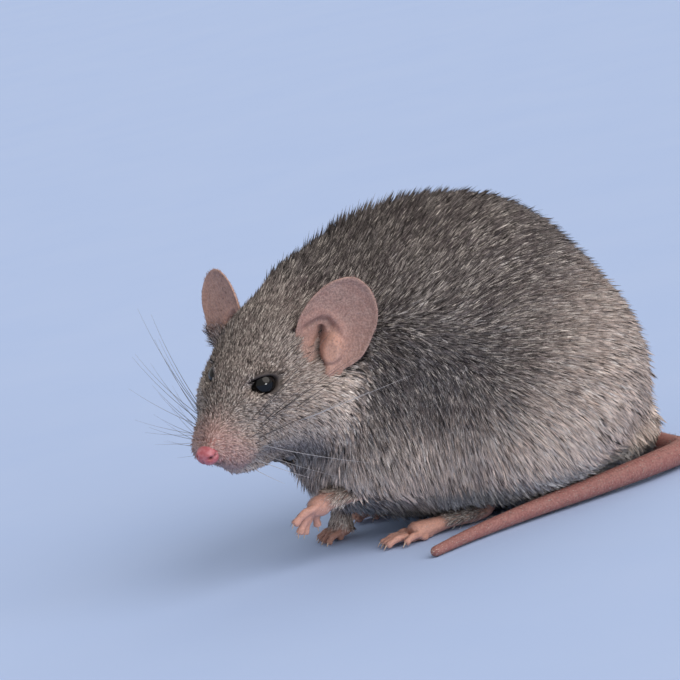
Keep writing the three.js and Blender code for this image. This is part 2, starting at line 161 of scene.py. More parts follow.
HEAD_AXES, HEAD_ORIGIN = head_frame()


def into_head(points):
    return (points - HEAD_ORIGIN) @ HEAD_AXES.T


def out_of_head(points):
    return np.asarray(points, float) @ HEAD_AXES + HEAD_ORIGIN


def on_right(local):
    """Places in the head's frame, with those of its left side mirrored to its right."""
    return local * (1, 0, 1) + np.abs(local) * (0, 1, 0)


# ---------------------------------------------------------------- meshes as arrays
def read_mesh(mesh):
    """Vertex places and a list of faces of a Blender mesh."""
    points = np.empty(len(mesh.vertices) * 3)
    mesh.vertices.foreach_get("co", points)
    return points.reshape(-1, 3), [tuple(f.vertices) for f in mesh.polygons]


def new_mesh(name, points, faces):
    mesh = bpy.data.meshes.new(name)
    if isinstance(faces, np.ndarray):
        count, sides = faces.shape
        mesh.vertices.add(len(points))
        mesh.vertices.foreach_set("co", np.asarray(points, np.float32).ravel())
        mesh.loops.add(count * sides)
        mesh.loops.foreach_set("vertex_index", faces.astype(np.int32).ravel())
        mesh.polygons.add(count)
        mesh.polygons.foreach_set("loop_start", np.arange(count, dtype=np.int32) * sides)
        mesh.update(calc_edges=True)
    else:
        mesh.from_pydata([tuple(p) for p in points], [], faces)
        mesh.update()
    return mesh


def placed(name, data):
    """A new object that is linked to the scene."""
    made = bpy.data.objects.new(name, data)
    bpy.context.scene.collection.objects.link(made)
    return made


def through_modifier(points, faces, kind, others=(), **settings):
    """The mesh after one modifier; others are meshes that the modifier works with in turn."""
    used = [placed("work", new_mesh("work", points, faces))]
    for other in others or (None,):
        modifier = used[0].modifiers.new("work", kind)
        for key, value in settings.items():
            setattr(modifier, key, value)
        if other is not None:
            used.append(placed("helper", new_mesh("helper", *other)))
            modifier.object = used[-1]
    graph = bpy.context.evaluated_depsgraph_get()
    result = read_mesh(used[0].evaluated_get(graph).data)
    for made in used:
        mesh = made.data
        bpy.data.objects.remove(made)
        bpy.data.meshes.remove(mesh)
    return result


def joined(parts):
    """Several meshes as one, not yet welded together."""
    points, faces, offset = [], [], 0
    for more, some_faces in parts:
        points.append(more)
        faces += [tuple(int(v) + offset for v in f) for f in some_faces]
        offset += len(more)
    return np.concatenate(points), faces


def remeshed(parts, cell):
    points, faces = joined(parts)
    return through_modifier(points, faces, "REMESH", mode="VOXEL", voxel_size=cell)


def edges_of(faces):
    pairs = np.array([(f[n - 1], f[n]) for f in faces for n in range(len(f))])
    return np.unique(np.sort(pairs, axis=1), axis=0)


def relaxed(points, edges, rounds, share=None):
    """Moves each vertex halfway to the middle of its neighbours; share weights the move."""
    count = np.bincount(edges.ravel(), minlength=len(points))[:, None]
    share = 1.0 if share is None else share[:, None]
    for _ in range(rounds):
        total = np.zeros_like(points)
        for axis in range(3):
            total[:, axis] = (
                np.bincount(edges[:, 0], points[edges[:, 1], axis], len(points))
                + np.bincount(edges[:, 1], points[edges[:, 0], axis], len(points)))
        points = points + 0.5 * share * (total / np.maximum(count, 1) - points)
    return points


def triangles_of(faces):
    return np.array([(f[0], f[n], f[n + 1]) for f in faces for n in range(1, len(f) - 1)])


def corners(points, tris):
    """Three arrays, of the first, second and third corner of each triangle."""
    return points[tris].transpose(1, 0, 2)


def squares_of(points, tris):
    """A vector square to each triangle, twice as long as the triangle is large."""
    a, b, c = corners(points, tris)
    return np.cross(b - a, c - a)


def normals_of(points, faces):
    tris = triangles_of(faces) if isinstance(faces, list) else faces
    flat = squares_of(points, tris)
    total = np.zeros_like(points)
    for corner in range(3):
        for axis in range(3):
            total[:, axis] += np.bincount(tris[:, corner], flat[:, axis], len(points))
    return unit(total)


def outward(points, faces):
    """The same closed mesh with its faces turned to point out."""
    a, b, c = corners(points, triangles_of(faces))
    if np.sum(a * np.cross(b, c)) < 0:
        faces = [tuple(reversed(f)) for f in faces]
    return points, faces


def ring_faces(rings, sides):
    """Faces between rings of vertices, with a fan at each end to the last two vertices."""
    faces = []
    for r in range(rings - 1):
        for s in range(sides):
            t = (s + 1) % sides
            faces.append((r * sides + s, r * sides + t, (r + 1) * sides + t, (r + 1) * sides + s))
    first, last = rings * sides, rings * sides + 1
    end = (rings - 1) * sides
    for s in range(sides):
        t = (s + 1) % sides
        faces.append((t, s, first))
        faces.append((end + s, end + t, last))
    return faces


def tube(path, radii, sides=12, flatten=1.0):
    """A closed tube round a path, of the given radius at each point, flattened from above."""
    path, radii = np.asarray(path, float), np.asarray(radii, float)
    tangent = unit(np.gradient(path, axis=0))
    across = np.cross((0.0, 0.0, 1.0), tangent)
    across[0] = unit(across[0]) if np.linalg.norm(across[0]) > 0.1 else (0, 1, 0)
    for n in range(1, len(path)):
        across[n] = unit(across[n - 1] - tangent[n] * (across[n - 1] @ tangent[n]))
    high = np.cross(tangent, across)
    angle = 2 * np.pi * np.arange(sides) / sides
    rings = (path[:, None] + radii[:, None, None] * (
        np.cos(angle)[None, :, None] * across[:, None]
        + flatten * np.sin(angle)[None, :, None] * high[:, None]))
    points = np.concatenate([rings.reshape(-1, 3), path[:1], path[-1:]])
    return outward(points, ring_faces(len(path), sides))


def blob(centre, radii, axes=None, rings=24, sides=32):
    """A closed ellipsoid with its own axes as rows."""
    fall = np.pi * (np.arange(1, rings) / rings)
    turn = 2 * np.pi * np.arange(sides) / sides
    sphere = np.stack([
        np.outer(np.sin(fall), np.cos(turn)), np.outer(np.sin(fall), np.sin(turn)),
        np.outer(np.cos(fall), np.ones(sides))], axis=-1).reshape(-1, 3)
    sphere = np.concatenate([sphere, [(0, 0, 1), (0, 0, -1)]])
    points = sphere * np.asarray(radii, float)
    points = points @ (np.eye(3) if axes is None else axes) + np.asarray(centre, float)
    return outward(points, ring_faces(rings - 1, sides))


def curve(places, count):
    """Points at even steps along a smooth line through the given places."""
    places = np.asarray(places, float)
    ends = [2 * places[0] - places[1], *places, 2 * places[-1] - places[-2]]
    fine = []
    for a, b, c, d in zip(ends[:-3], ends[1:-2], ends[2:-1], ends[3:]):
        knots = np.cumsum([0, *(np.sqrt(np.linalg.norm(q - p)) for p, q in ((a, b), (b, c), (c, d)))])
        for t in np.linspace(knots[1], knots[2], 40, endpoint=False):
            row = (a, b, c, d)
            for spans in (((0, 1), (1, 2), (2, 3)), ((0, 2), (1, 3)), ((1, 2),)):
                row = [mix(row[n], row[n + 1], (t - knots[i]) / (knots[j] - knots[i]))
                       for n, (i, j) in enumerate(spans)]
            fine.append(row[0])
    fine = np.array([*fine, places[-1]])
    run = np.concatenate([[0], np.cumsum(np.linalg.norm(np.diff(fine, axis=0), axis=1))])
    steps = np.linspace(0, run[-1], count)
    return np.stack([np.interp(steps, run, fine[:, k]) for k in range(3)], axis=1)


def show(name, points, faces, material, slot, *nodes):
    """Links a finished piece that rides on the body; its points are given in millimetres."""
    old = bpy.data.objects.get(name)
    if old is not None:
        bpy.data.objects.remove(old)
    piece = placed(name, new_mesh(name, np.asarray(points) * MM, faces))
    piece.data.materials.append(material)
    piece.data.polygons.foreach_set("use_smooth", np.ones(len(piece.data.polygons), bool))
    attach(piece, "root")
    if nodes:
        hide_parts(*nodes)
    return piece


def store(mesh, **named):
    """Stores one number or three for each vertex under each name, for the material to read."""
    for name, values in named.items():
        kind, key = ("FLOAT", "value") if values.ndim == 1 else ("FLOAT_VECTOR", "vector")
        layer = mesh.attributes.new(name, kind, "POINT")
        layer.data.foreach_set(key, np.ascontiguousarray(values, np.float32).ravel())


# ---------------------------------------------------------------- how the coat lies
def on_head(points, start=0.9, end=1.25):
    """1 on the head, 0 on the body, with the change behind the ears."""
    x, y, z = into_head(points).T
    away = np.sqrt(((x + 9.5) / 15) ** 2 + (y / 13) ** 2 + ((z + 0.5) / 11) ** 2)
    return 1 - smooth(start, end, away)


def before_ears(points):
    """1 on the thinly haired skin in front of each ear, falling to 0 off it."""
    local = into_head(points)
    return np.maximum(*(bump_at(local, np.array(EARS[which]["root"]) + (-0.6, -side * 1.6, 3.6), 2.5)
                        for which, side in SIDES.items()))


def near_eye(points, reach):
    return np.maximum(*(bump_at(points, EYES[which], reach) for which in SIDES))


WRISTS = (at("forepaw_left", 0.98, 0.54, 0.85), at("forepaw_right", 0.89, 0.53, 0.87))
ANKLES = tuple(at(f"hindfoot_{which}", 0.75, 0.5, 0.6) for which in SIDES)


def near_feet(points):
    """Distance in millimetres to the nearest wrist or ankle."""
    return np.min([np.linalg.norm(points - place, axis=1) for place in WRISTS + ANKLES], axis=0)


def hair_length(points):
    """Millimetres of hair: longest on the back, short on the muzzle, by the eyes and on the legs."""
    x = into_head(points)[:, 0]
    face = np.interp(x, (-20, -17, -12, -7, -1, 6), (0.7, 0.95, 1.4, 1.9, 2.8, 3.5))
    body = np.interp(points[:, 2], (2, 14, 30), (2.9, 3.3, 3.6))
    length = mix(body, face, on_head(points))
    length = length * (1 - 0.6 * near_eye(points, 2.5)) * (1 - 0.5 * before_ears(points))
    return mix(np.minimum(length, 1.3), length, smooth(1.0, 8.0, near_feet(points)))


def haired(points):
    """1 where hair grows, 0 on the nose, in the eyes and under the feet."""
    local = into_head(points)
    share = smooth(-20.9, -19.9, local[:, 0] + 0.25 * (local[:, 2] + 1.2))
    for which in SIDES:
        look, ear_way, high = eye_axes(which)
        gap = points - eye_seat(which)
        u, v = gap @ ear_way, gap @ high
        opening = lid_ratio(u, v, 0.15)
        share = share * np.where((gap @ look > -0.6) & (opening < 1), 0, 1)
    return share * (1 - 0.97 * np.minimum(1, 1.6 * before_ears(points)))


def coat_depth(points):
    """Millimetres from the skin up to the tips of the coat."""
    return hair_length(points) * mix(0.60, 0.42, on_head(points))


def lie_of_coat(points, normals):
    """The way the hairs point along the skin: from the nose back over the head, rearward on
    the back, straight down behind the shoulder, and down and rearward over the haunch."""
    x, y, z = points.T
    haunch = 1.1 * (np.clip(38 - z, 0, None) / 22) ** 2
    haunch = haunch - 0.6 * smooth(17, 3, x) * smooth(23, 31, z)
    shoulder = np.tan(1.4 * smooth(35, 19, z)) - 0.5 * smooth(29, 35, z)
    front = smooth(9.0, -4.0, x)
    under = smooth(-0.35, -0.75, normals[:, 2])
    fall = mix(haunch, shoulder, front) * (1 - 0.95 * under)
    body = unit(np.stack([np.ones_like(x), 0 * x, -fall], axis=1))
    local = into_head(points)
    drop = np.clip((4.0 - local[:, 2]) / 4.6, 0, 1.7)
    face = unit(np.stack([np.ones_like(x), 0 * x, -drop], axis=1)) @ HEAD_AXES
    flow = mix(body, face, on_head(points, 0.75, 1.5)[:, None])
    # The hairs part round each eye.
    for which in SIDES:
        away = points - EYES[which]
        flow = flow + 0.9 * bump_at(points, EYES[which], 2.6)[:, None] * unit(away)
    return unit(flow - normals * dot(flow, normals))


JAW_PLACE, JAW_SLOPE = (-17.0, -5.9), 0.67      # a place below the jaw and its fall, in the head's frame


def markings(points, normals):
    """Shares of buff, slate and dusk in the colour of the coat, the same for skin and hair; buff also holds
    painted light on the rump, lower flank and chin, and dusk painted shade behind the shoulder and at the
    nape.
    """
    x, y, z = points.T
    rearward, _, above = into_head(points).T
    head = on_head(points)
    # The buff of the lower flank and rump is partly the coat's own paler colour and partly painted light,
    # strongest where the rump is lit from the right.
    flank = 0.95 * smooth(25, 10, z)
    rump = 0.64 * smooth(4, 24, x) * smooth(41, 20, z)
    buff = mix(1 - (1 - flank) * (1 - rump), 0.15 + 0.50 * smooth(7, -4, above), head)
    slate = 0.9 * smooth(0.8, -0.8, z - 8.0 + 0.06 * x) * smooth(-14, -3, x)
    slate = np.maximum(slate, smooth(-0.6, -0.95, normals[:, 2]))
    slate = slate * smooth(-14, -6, rearward) * (1 - 0.75 * head)
    # Under the jaw the coat turns buff: partly the chin's own pale hair and partly painted light from below.
    over_jaw = above - JAW_PLACE[1] + JAW_SLOPE * (rearward - JAW_PLACE[0])
    chin = smooth(1.5, -1.0, over_jaw) * smooth(-7, -12, rearward) * head
    buff, slate = np.maximum(buff, 0.97 * chin), slate * (1 - chin)
    side = np.abs(y - BODY_MIDDLE) / 16
    # Behind the shoulder and at the nape the coat is darkened as painted shade; along the top of the back it
    # is the coat's own darker colour.
    dusk = 0.42 * bell((x - 2) / 11, (z - 25) / 8) * smooth(0.2, 0.8, side)
    nape = 0.50 * bell((x + 5) / 6, (z - 30) / 7) * smooth(0.2, 0.7, side)
    back = 0.75 * smooth(25, 34, z) * smooth(28, 12, x) * (1 - head)
    dusk = np.maximum(np.maximum(dusk, nape), back)
    return np.stack([buff * (1 - slate), slate, dusk * (1 - 0.8 * head)], axis=1)


# ---------------------------------------------------------------- the flesh under the coat
CLOSING = 0.9      # mm that the solids are grown by, so that their gaps close
BODY_CELL = 0.55
# Places in tail_1's box and radii of the flesh that joins the tail to the rump.
TAIL_FILLS = (((0.10, 0.86, 0.68), 3.6), ((0.35, 0.50, 0.84), 5.8), ((0.04, 0.15, 0.62), 5.0))
THROAT = ((-17.0, 0.0, -5.9), (-11.5, 0.0, -9.6), (-6.0, 0.0, -13.0))   # in the head's frame
THROAT_RADII = (2.6, 3.5, 3.9)


def grown_node(node, amount):
    """A CAD node with its vertices merged and moved outward."""
    work = bmesh.new()
    work.from_mesh(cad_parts[node].data)
    bmesh.ops.remove_doubles(work, verts=work.verts, dist=1e-6)
    points = np.array([v.co for v in work.verts]) / MM
    work.verts.index_update()
    faces = [tuple(v.index for v in f.verts) for f in work.faces]
    work.free()
    return points + normals_of(points, faces) * amount, faces


def finer(points, faces, chosen):
    """Cuts each face whose vertices are all chosen in four."""
    work = bmesh.new()
    work.from_mesh(new_mesh("finer", points, faces))
    work.verts.ensure_lookup_table()
    edges = [e for e in work.edges if chosen[e.verts[0].index] and chosen[e.verts[1].index]]
    bmesh.ops.subdivide_edges(work, edges=edges, cuts=1, use_grid_fill=True)
    mesh = bpy.data.meshes.new("finer")
    work.to_mesh(mesh)
    work.free()
    return read_mesh(mesh)


def lowered(points):
    """Millimetres that the coat's outline stands below the solids, less than 0 where above."""
    x, _, z = points.T
    rear = smooth(18, 27, x) * smooth(12, 20, z) * smooth(42, 34, z)
    nape = bell((x + 5) / 7) * smooth(34, 40, z)
    return 0.45 * rear - 0.40 * nape


def core():
    """Head, neck, trunk and legs as one smooth closed form, lower than the coat by its depth."""
    parts = [grown_node(node, CLOSING) for node in FLESH + ("eye_left", "eye_right", "nose")]
    parts += [blob(at("tail_1", *share), (radius,) * 3) for share, radius in TAIL_FILLS]
    radii = np.interp(np.arange(12), (0, 5.5, 11), THROAT_RADII)
    parts.append(tube(curve(out_of_head(THROAT), 12), radii, 24))
    points, faces = remeshed(parts, BODY_CELL)
    edges = edges_of(faces)
    points = relaxed(points, edges, 5)
    points = relaxed(points, edges, 14, 1 - on_head(points))
    points = points - normals_of(points, faces) * (CLOSING + coat_depth(points) + lowered(points))[:, None]
    points = relaxed(points, edges, 3, 1 - 0.6 * on_head(points))
    points, faces = finer(points, faces, on_head(points) > 0.6)
    return relaxed(points, edges_of(faces), 2), faces


# ---------------------------------------------------------------- the face
LID_HALF_WIDTHS = (2.30, 1.98)   # of the opening, towards the nose and towards the ear
LID_HALF_HEIGHT = 1.22
LID_THICKNESS = 0.16
EYE_OUTWARD = np.array((-0.48, 0.72, 0.50))   # the way the right eye looks, in the head's frame
EYE_LENGTHWAYS = np.array((0.77, 0.62, -0.15))  # from its inner to its outer corner
EYE_SINK = {"left": 0.50, "right": 1.15}     # mm that an eyeball lies deeper than its solid
MOUTH = ((-19.3, 0.0, -4.6), (-18.2, 1.7, -5.3), (-15.6, 3.2, -5.9), (-12.6, 4.3, -6.0))


def eye_axes(which):
    """Outward, towards the ear and up the lid, for one eye."""
    look = unit(EYE_OUTWARD * (1, SIDES[which], 1)) @ HEAD_AXES
    ear_way = EYE_LENGTHWAYS * (1, SIDES[which], 1) @ HEAD_AXES
    ear_way = unit(ear_way - look * (ear_way @ look))
    return look, ear_way, np.cross(look, ear_way)


def eye_seat(which):
    """The middle of an eyeball, a little deeper than the solid that stands for it."""
    return EYES[which] - eye_axes(which)[0] * EYE_SINK[which]


def lid_ratio(u, v, wider=0.0):
    """0 in the middle of the opening between the lids and 1 on its edge."""
    half_width = np.where(u < 0, *LID_HALF_WIDTHS) + wider
    return np.hypot(u / half_width, v / (LID_HALF_HEIGHT + wider))


def lids(points):
    """Shapes the rims round the eyes; also gives 1 on a rim, falling to 0 off it."""
    rim_share = np.zeros(len(points))
    for which in SIDES:
        look, ear_way, high = eye_axes(which)
        gap = points - eye_seat(which)
        close = np.linalg.norm(gap, axis=1) < 5
        height, u, v = (gap[close] @ axis for axis in (look, ear_way, high))
        reach = np.hypot(u, v)
        ratio = lid_ratio(u, v)
        rim = reach / np.maximum(ratio, 1e-6)
        over = EYE_RADIUS + LID_THICKNESS
        rim_height = np.sqrt(np.maximum(over ** 2 - rim ** 2, 0.2))
        beyond = reach - rim
        outside = mix(height, rim_height, bell(np.clip(beyond, 0, None) / 0.75))
        outside = outside - 0.10 * bell((beyond - 0.62) / 0.2)
        inside = np.maximum(rim_height - (1 - ratio) * 5.0, -0.4)
        target = np.where(ratio < 1, inside, outside)
        facing = height > -0.6
        points[np.flatnonzero(close)[facing]] += ((target - height)[:, None] * look)[facing]
        rim_share[close] = np.maximum(rim_share[close], bell(beyond / 0.7) * facing)
    return points, rim_share


def face_shape(points, faces):
    """The mouth, the dip behind the nose pad and the rows of whisker roots."""
    local = into_head(points)
    mirrored = on_right(local)
    mouth = on_line(mirrored, MOUTH, 0.35)
    behind_nose = bump_at(local, (-19.2, 0, -1.0), (0.8, 2.4, 2.4))
    roots = np.max([bump_at(mirrored, place, 0.26) for place in whisker_roots()], axis=0)
    change = 0.10 * roots - 0.42 * mouth - 0.12 * behind_nose
    return points + normals_of(points, faces) * change[:, None], mouth, roots


WHISKER_ROWS, WHISKERS_IN_ROW, WHISKER_SIDES = 5, 5, 5


def whisker_roots():
    """Rows of whisker roots on one side of the muzzle, in the head's frame."""
    places = []
    for row in range(WHISKER_ROWS):
        for n in range(WHISKERS_IN_ROW - (row in (0, WHISKER_ROWS - 1))):
            x = -17.9 + 1.05 * n + 0.12 * row
            z = -0.9 - 0.85 * row + 0.10 * n
            y = 2.15 + 0.36 * n + 1.15 * math.sin(math.pi * (row + 0.6) / 5.2)
            places.append((x, y, z))
    return np.array(places)


# ---------------------------------------------------------------- ears
EAR_THICKNESS = 0.46
EAR_MIDDLE = np.array((-0.3, 7.4))
EARS = {
    "left": {"root": (-1.4, -7.2, -1.2), "upward": (0.54, -0.26, 0.8), "hollow": (-0.82, -0.5, 0.28)},
    "right": {"root": (-0.7, 6.9, -3.4), "upward": (0.52, 0.27, 0.80), "hollow": (-0.84, 0.40, 0.37)},
}
EAR_SIZE = {"left": 1.0, "right": 0.90}
EAR_PALE_AND_LIGHT = {"left": 0.14, "right": 0.40}      # share of thin pale skin all over the ear; the far right ear's larger share is painted light
# Places on the hollow side are given as (towards the outer edge, up from the root).
EAR_OUTLINE = (
    (-0.1, 14.7), (2.3, 13.9), (4.1, 11.9), (4.95, 9.4), (4.95, 7.4), (4.85, 5.5), (4.5, 3.9),
    (3.7, 2.5), (2.9, 1.5), (2.6, 0.5), (1.9, -0.3), (0.5, -0.7), (-1.8, -0.6), (-3.7, 1.2),
    (-4.9, 3.6), (-5.3, 6.1), (-5.1, 8.4), (-4.3, 10.8), (-2.7, 13.2))
FOLD = ((-4.5, 6.0), (-3.9, 6.9), (-2.8, 8.0), (-1.5, 8.4), (-0.2, 7.6), (0.8, 6.8), (1.2, 6.0))
UNDER_FOLD = ((-3.9, 5.6), (-2.6, 6.9), (-1.5, 7.2), (-0.6, 6.6))
LOBE = (0.25, 3.5)     # middle of the swelling behind the ear canal
CANAL = ((-1.8, 5.8), (-1.55, 4.8), (-1.5, 3.6), (-1.3, 2.5), (-0.8, 1.6), (-0.4, 0.8))


def ear_axes(which):
    """Forward into the hollow, across and up, in the frame's axes, and the root."""
    place = EARS[which]
    up = unit(place["upward"])
    across = unit(np.cross(up, place["hollow"]))
    axes = np.array([np.cross(across, up), across, up]) @ HEAD_AXES
    return axes, out_of_head(place["root"])


def ear_reach(angles):
    """How far the edge of the ear lies from its middle, in each direction."""
    round_twice = np.array(EAR_OUTLINE * 2 + EAR_OUTLINE[:1])
    edge = curve(np.column_stack([round_twice, np.zeros(len(round_twice))]), 400)[100:300, :2] - EAR_MIDDLE
    turn = np.arctan2(edge[:, 1], edge[:, 0])
    order = np.argsort(turn)
    return np.interp(angles, turn[order], np.hypot(*edge.T)[order], period=2 * np.pi)


def ear(which):
    """A thin cupped pinna with its folds, as a closed mesh, and the marks of its skin."""
    rings, sides = 36, 88
    span = np.sin(np.linspace(0, np.pi / 2, rings + 1))[1:]
    turn = 2 * np.pi * np.arange(sides) / sides
    reach = ear_reach(turn)
    flat = np.stack([np.outer(span, np.cos(turn) * reach), np.outer(span, np.sin(turn) * reach)],
                    axis=-1).reshape(-1, 2) + EAR_MIDDLE
    outer, up = flat.T
    edge = np.repeat(span, sides)
    cup = 0.05 * outer ** 2 + 0.018 * (up - 6) ** 2
    beside, along = (outer - LOBE[0]) / 1.35, (up - LOBE[1]) / 2.2
    lobe = smooth(1.2, 0.6, np.hypot(np.where(beside < 0, beside, beside * 0.75), along))
    neck = np.exp(-((outer - 0.9) / 0.9) ** 4 - ((up - 1.0) / 1.3) ** 4)
    lobe = np.maximum(lobe, 0.7 * neck)
    bowl = 1.25 * bell((outer + 1.6) / 2.2, (up - 3.8) / 3.0)
    raised = 0.24 * on_line(flat, FOLD, 0.5) + 1.5 * lobe + 0.20 * smooth(0.84, 0.97, edge) * smooth(2, 6, up)
    sunk = 0.50 * on_line(flat, UNDER_FOLD, 0.5) + 1.0 * on_line(flat, CANAL, 0.5)
    thick = EAR_THICKNESS / 2 * np.sqrt(np.clip(1 - edge ** 8, 0, 1))
    middle = cup - bowl - sunk + 0.4 * raised
    wide = -SIDES[which] * outer
    front = np.stack([middle + thick + 0.6 * raised, wide, up], axis=1)
    back = np.stack([middle - thick - 0.3 * smooth(5, 0, up), wide, up], axis=1)
    # Rings run from the middle of the hollow side out to the rim, and back in behind it.
    back_in = back[:-sides].reshape(rings - 1, sides, 3)[::-1].reshape(-1, 3)
    centres = [front[:sides].mean(axis=0), back[:sides].mean(axis=0)]
    local = np.concatenate([front, back_in, centres])
    axes, root = ear_axes(which)
    marks = {
        # The canal mark, with the crease under the fold, is where painted shade goes in these hollows.
        "canal": on_line(flat, CANAL, 0.45) + 0.45 * on_line(flat, UNDER_FOLD, 0.45),
        "fold": on_line(flat, FOLD, 0.8),
        "lobe": lobe,
        "hollow": bell((outer + 0.6) / 3.2, (up - 3.6) / 3.8),
        "mole": bell((outer + 0.8) / 0.30, (up - 10.8) / 0.24),
    }
    marks = {key: np.pad(value, (0, len(local) - len(front))) for key, value in marks.items()}
    points, faces = outward(local * EAR_SIZE[which] @ axes + root, ring_faces(2 * rings - 1, sides))
    return points, faces, marks


# ---------------------------------------------------------------- paws
PAW_CELL = 0.2
FIRST_PAW, TAIL_PART = 2, 6     # numbers of the parts joined to the flesh, after the two ears


def limb(places, count, shares, radii, sides, flatten):
    """A tube along a smooth line, with its radii at some shares of the line's length."""
    return tube(curve(places, count), np.interp(np.linspace(0, 1, count), shares, radii), sides, flatten)


def digit(root, knuckle, tip, radius):
    """A toe with a swollen knuckle and pad, and the place and way of its claw."""
    path = curve([root, knuckle, tip], 14)
    t = np.linspace(0, 1, 14)
    swell = (1 - 0.14 * t + 0.12 * bell((t - 0.5) / 0.12)
             + 0.14 * bell((t - 0.9) / 0.1) - 0.10 * bell((t - 0.72) / 0.08))
    way = unit(unit(tip - knuckle) + (0, 0, -0.15))
    return tube(path, radius * swell, 12), (np.asarray(tip, float), way)


# From palm to tip of the toes of the lifted paw, which hang and point forward.
LIFTED_TOES = ((-3.9, -0.5, -1.3), (-3.3, -0.2, -2.75), (-2.4, 0.2, -3.2), (-0.4, 0.4, -2.9))


def forepaw(which):
    """Palm, four toes and pads; the left paw is lifted and the right one stands."""
    if which == "left":
        wrist = WRISTS[0]
        palm, depth, toe_radius = wrist + (-4.1, 0.05, -0.1), 1.45, 0.60
        toes = np.array(LIFTED_TOES) - (0, 0, 0.2)
    else:
        wrist = WRISTS[1]
        palm, depth, toe_radius = wrist + (-1.1, -0.2, -3.1), 1.0, 0.50
        angles = np.radians(17 * (np.arange(4) - 1.5))
        toes = np.stack([-2.7 * np.cos(angles), 2.7 * np.sin(angles), np.full(4, -0.85)], axis=1)
    arm = [wrist + (wrist - palm) * 0.5, wrist, palm]
    parts = [limb(arm, 14, (0, 0.5, 0.85, 1), (1.5, 1.35, 1.6, 1.2), 16, 0.85),
             blob(palm - (0, 0, depth - 1), (1.75, 1.65, depth))]
    claws = []
    for n, toe in enumerate(toes):
        root = palm + toe * 0.15 + (0, (n - 1.5) * 0.75, 0)
        tip = root + toe
        shape, claw = digit(root, (root + tip) / 2 + (-0.15, 0, 0.35), tip, toe_radius)
        parts += [shape, blob(palm + toe * 0.22 + (0, (n - 1.5) * 0.62, -0.75), (0.5, 0.42, 0.34))]
        claws.append(claw)
    return parts, claws


def hindfoot(which):
    """Heel, long sole and five toes on the floor."""
    side = SIDES[which]
    low, high = box(f"hindfoot_{which}")
    heel = at(f"hindfoot_{which}", 0.92, 0.63 if side < 0 else 0.37, 0.56)
    ball = np.array((heel[0] - 0.643 * (high[0] - low[0]), heel[1] + side * 0.8, 1.2))
    middle = (heel + ball) / 2 + (0, -side * 0.1, 0)
    sole = [heel + (1.2, 0, 1.6), heel, middle, ball]
    parts = [limb(sole, 22, (0, 0.2, 0.6, 0.95, 1), (1.2, 1.35, 1.3, 1.9, 1.4), 18, 0.74)]
    claws = []
    for spread in range(-2, 3):
        back, length = (0.9, 2.7) if abs(spread) == 2 else (-0.6, 3.5)
        root = np.array((ball[0] + back, ball[1] + spread * 0.8, 1.05))
        tip = np.array((root[0] - length, root[1] + spread * 0.55, 0.62))
        shape, claw = digit(root, (root + tip) / 2 + (0, 0, 0.35), tip, 0.52)
        parts += [shape, blob(root + (0.5, 0, -0.62), (0.6, 0.45, 0.36))]
        claws.append(claw)
    parts.append(blob(ball + (2.2, side * 0.7, -0.75), (0.8, 0.5, 0.4)))
    return parts, claws


def paw(node):
    """The parts and the claws of the paw that stands for a CAD node."""
    kind, which = node.split("_")
    return (forepaw if kind == "forepaw" else hindfoot)(which)


def above_floor(points):
    """Presses what would lie under the floor flat on it."""
    points = points.copy()
    points[:, 2] = np.maximum(points[:, 2], FLOOR_GAP)
    return points


# ---------------------------------------------------------------- the tail
TAIL_ROUTE = (
    ("tail_1", 0.0, 0.90, 0.60), ("tail_1", 0.17, 0.80, 0.48), ("tail_1", 0.56, 0.68, 0.24),
    ("tail_1", 0.75, 0.27, 0.10), ("tail_2", 0.76, 0.67, 0.36), ("tail_2", 0.25, 0.27, 0.38),
    ("tail_3", 0.42, 0.44, 0.45), ("tail_4", 0.71, 0.60, 0.49), ("tail_4", 0.11, 0.27, 0.39),
    ("tail_5", 0.55, 0.55, 0.46), ("tail_5", 0.05, 0.13, 0.33),
)
TAIL_RADII = (1.9, 0.7)
TAIL_RING = 0.46      # mm from one ring of scales to the next


def tail_path(count):
    return curve([at(*place) for place in TAIL_ROUTE], count)


def tail_radius(t):
    return mix(*TAIL_RADII, t ** 1.4)


def tail():
    """The tail with its rings of scales, each ring a low step."""
    length = np.linalg.norm(np.diff(tail_path(400), axis=0), axis=1).sum()
    count = int(length / TAIL_RING) * 4
    path = tail_path(count)
    t = np.linspace(0, 1, count)
    tip = np.sqrt(np.clip(1 - ((t - 0.985) / 0.0151).clip(0, 1) ** 2, 0.01, 1))
    step = 1 + 0.022 * np.cos(2 * np.pi * np.arange(count) / 4)
    return tube(path, tail_radius(t) * tip * step, 14)


# ---------------------------------------------------------------- the skin
def within(points, others, margin):
    """True where a point lies in the box of the others, widened by a margin."""
    return np.all((points > others.min(0) - margin) & (points < others.max(0) + margin), axis=1)


def nearest_part(points, parts, limit=0.02):
    """For each point, the number of the part whose surface it lies on, or -1."""
    found = np.full(len(points), -1)
    for number, (part, faces) in enumerate(parts):
        tree = BVHTree.FromPolygons([tuple(p) for p in part], faces)
        for n in np.flatnonzero(within(points, part, 0.05) & (found < 0)):
            if tree.find_nearest(points[n], limit)[0] is not None:
                found[n] = number
    return found


def whole_skin():
    """The skin as one closed mesh, with the marks that its material reads."""
    flesh, flesh_faces = core()
    flesh, mouth, roots = face_shape(flesh, flesh_faces)
    flesh, rims = lids(flesh)
    ears = {which: ear(which) for which in SIDES}
    paws = []
    for node in PAWS:
        shape, faces = remeshed(paw(node)[0], PAW_CELL)
        paws.append((above_floor(relaxed(shape, edges_of(faces), 2)), faces))
    parts = [ears[which][:2] for which in SIDES] + paws + [tail()]
    points, faces = through_modifier(
        flesh, flesh_faces, "BOOLEAN", parts, operation="UNION", solver="MANIFOLD")
    part = nearest_part(points, parts)
    return {"points": points, "tris": triangles_of(faces), "faces": faces, "part": part,
            "flesh": (flesh, flesh_faces), "mouth": mouth, "rims": rims, "roots": roots, "ears": ears}


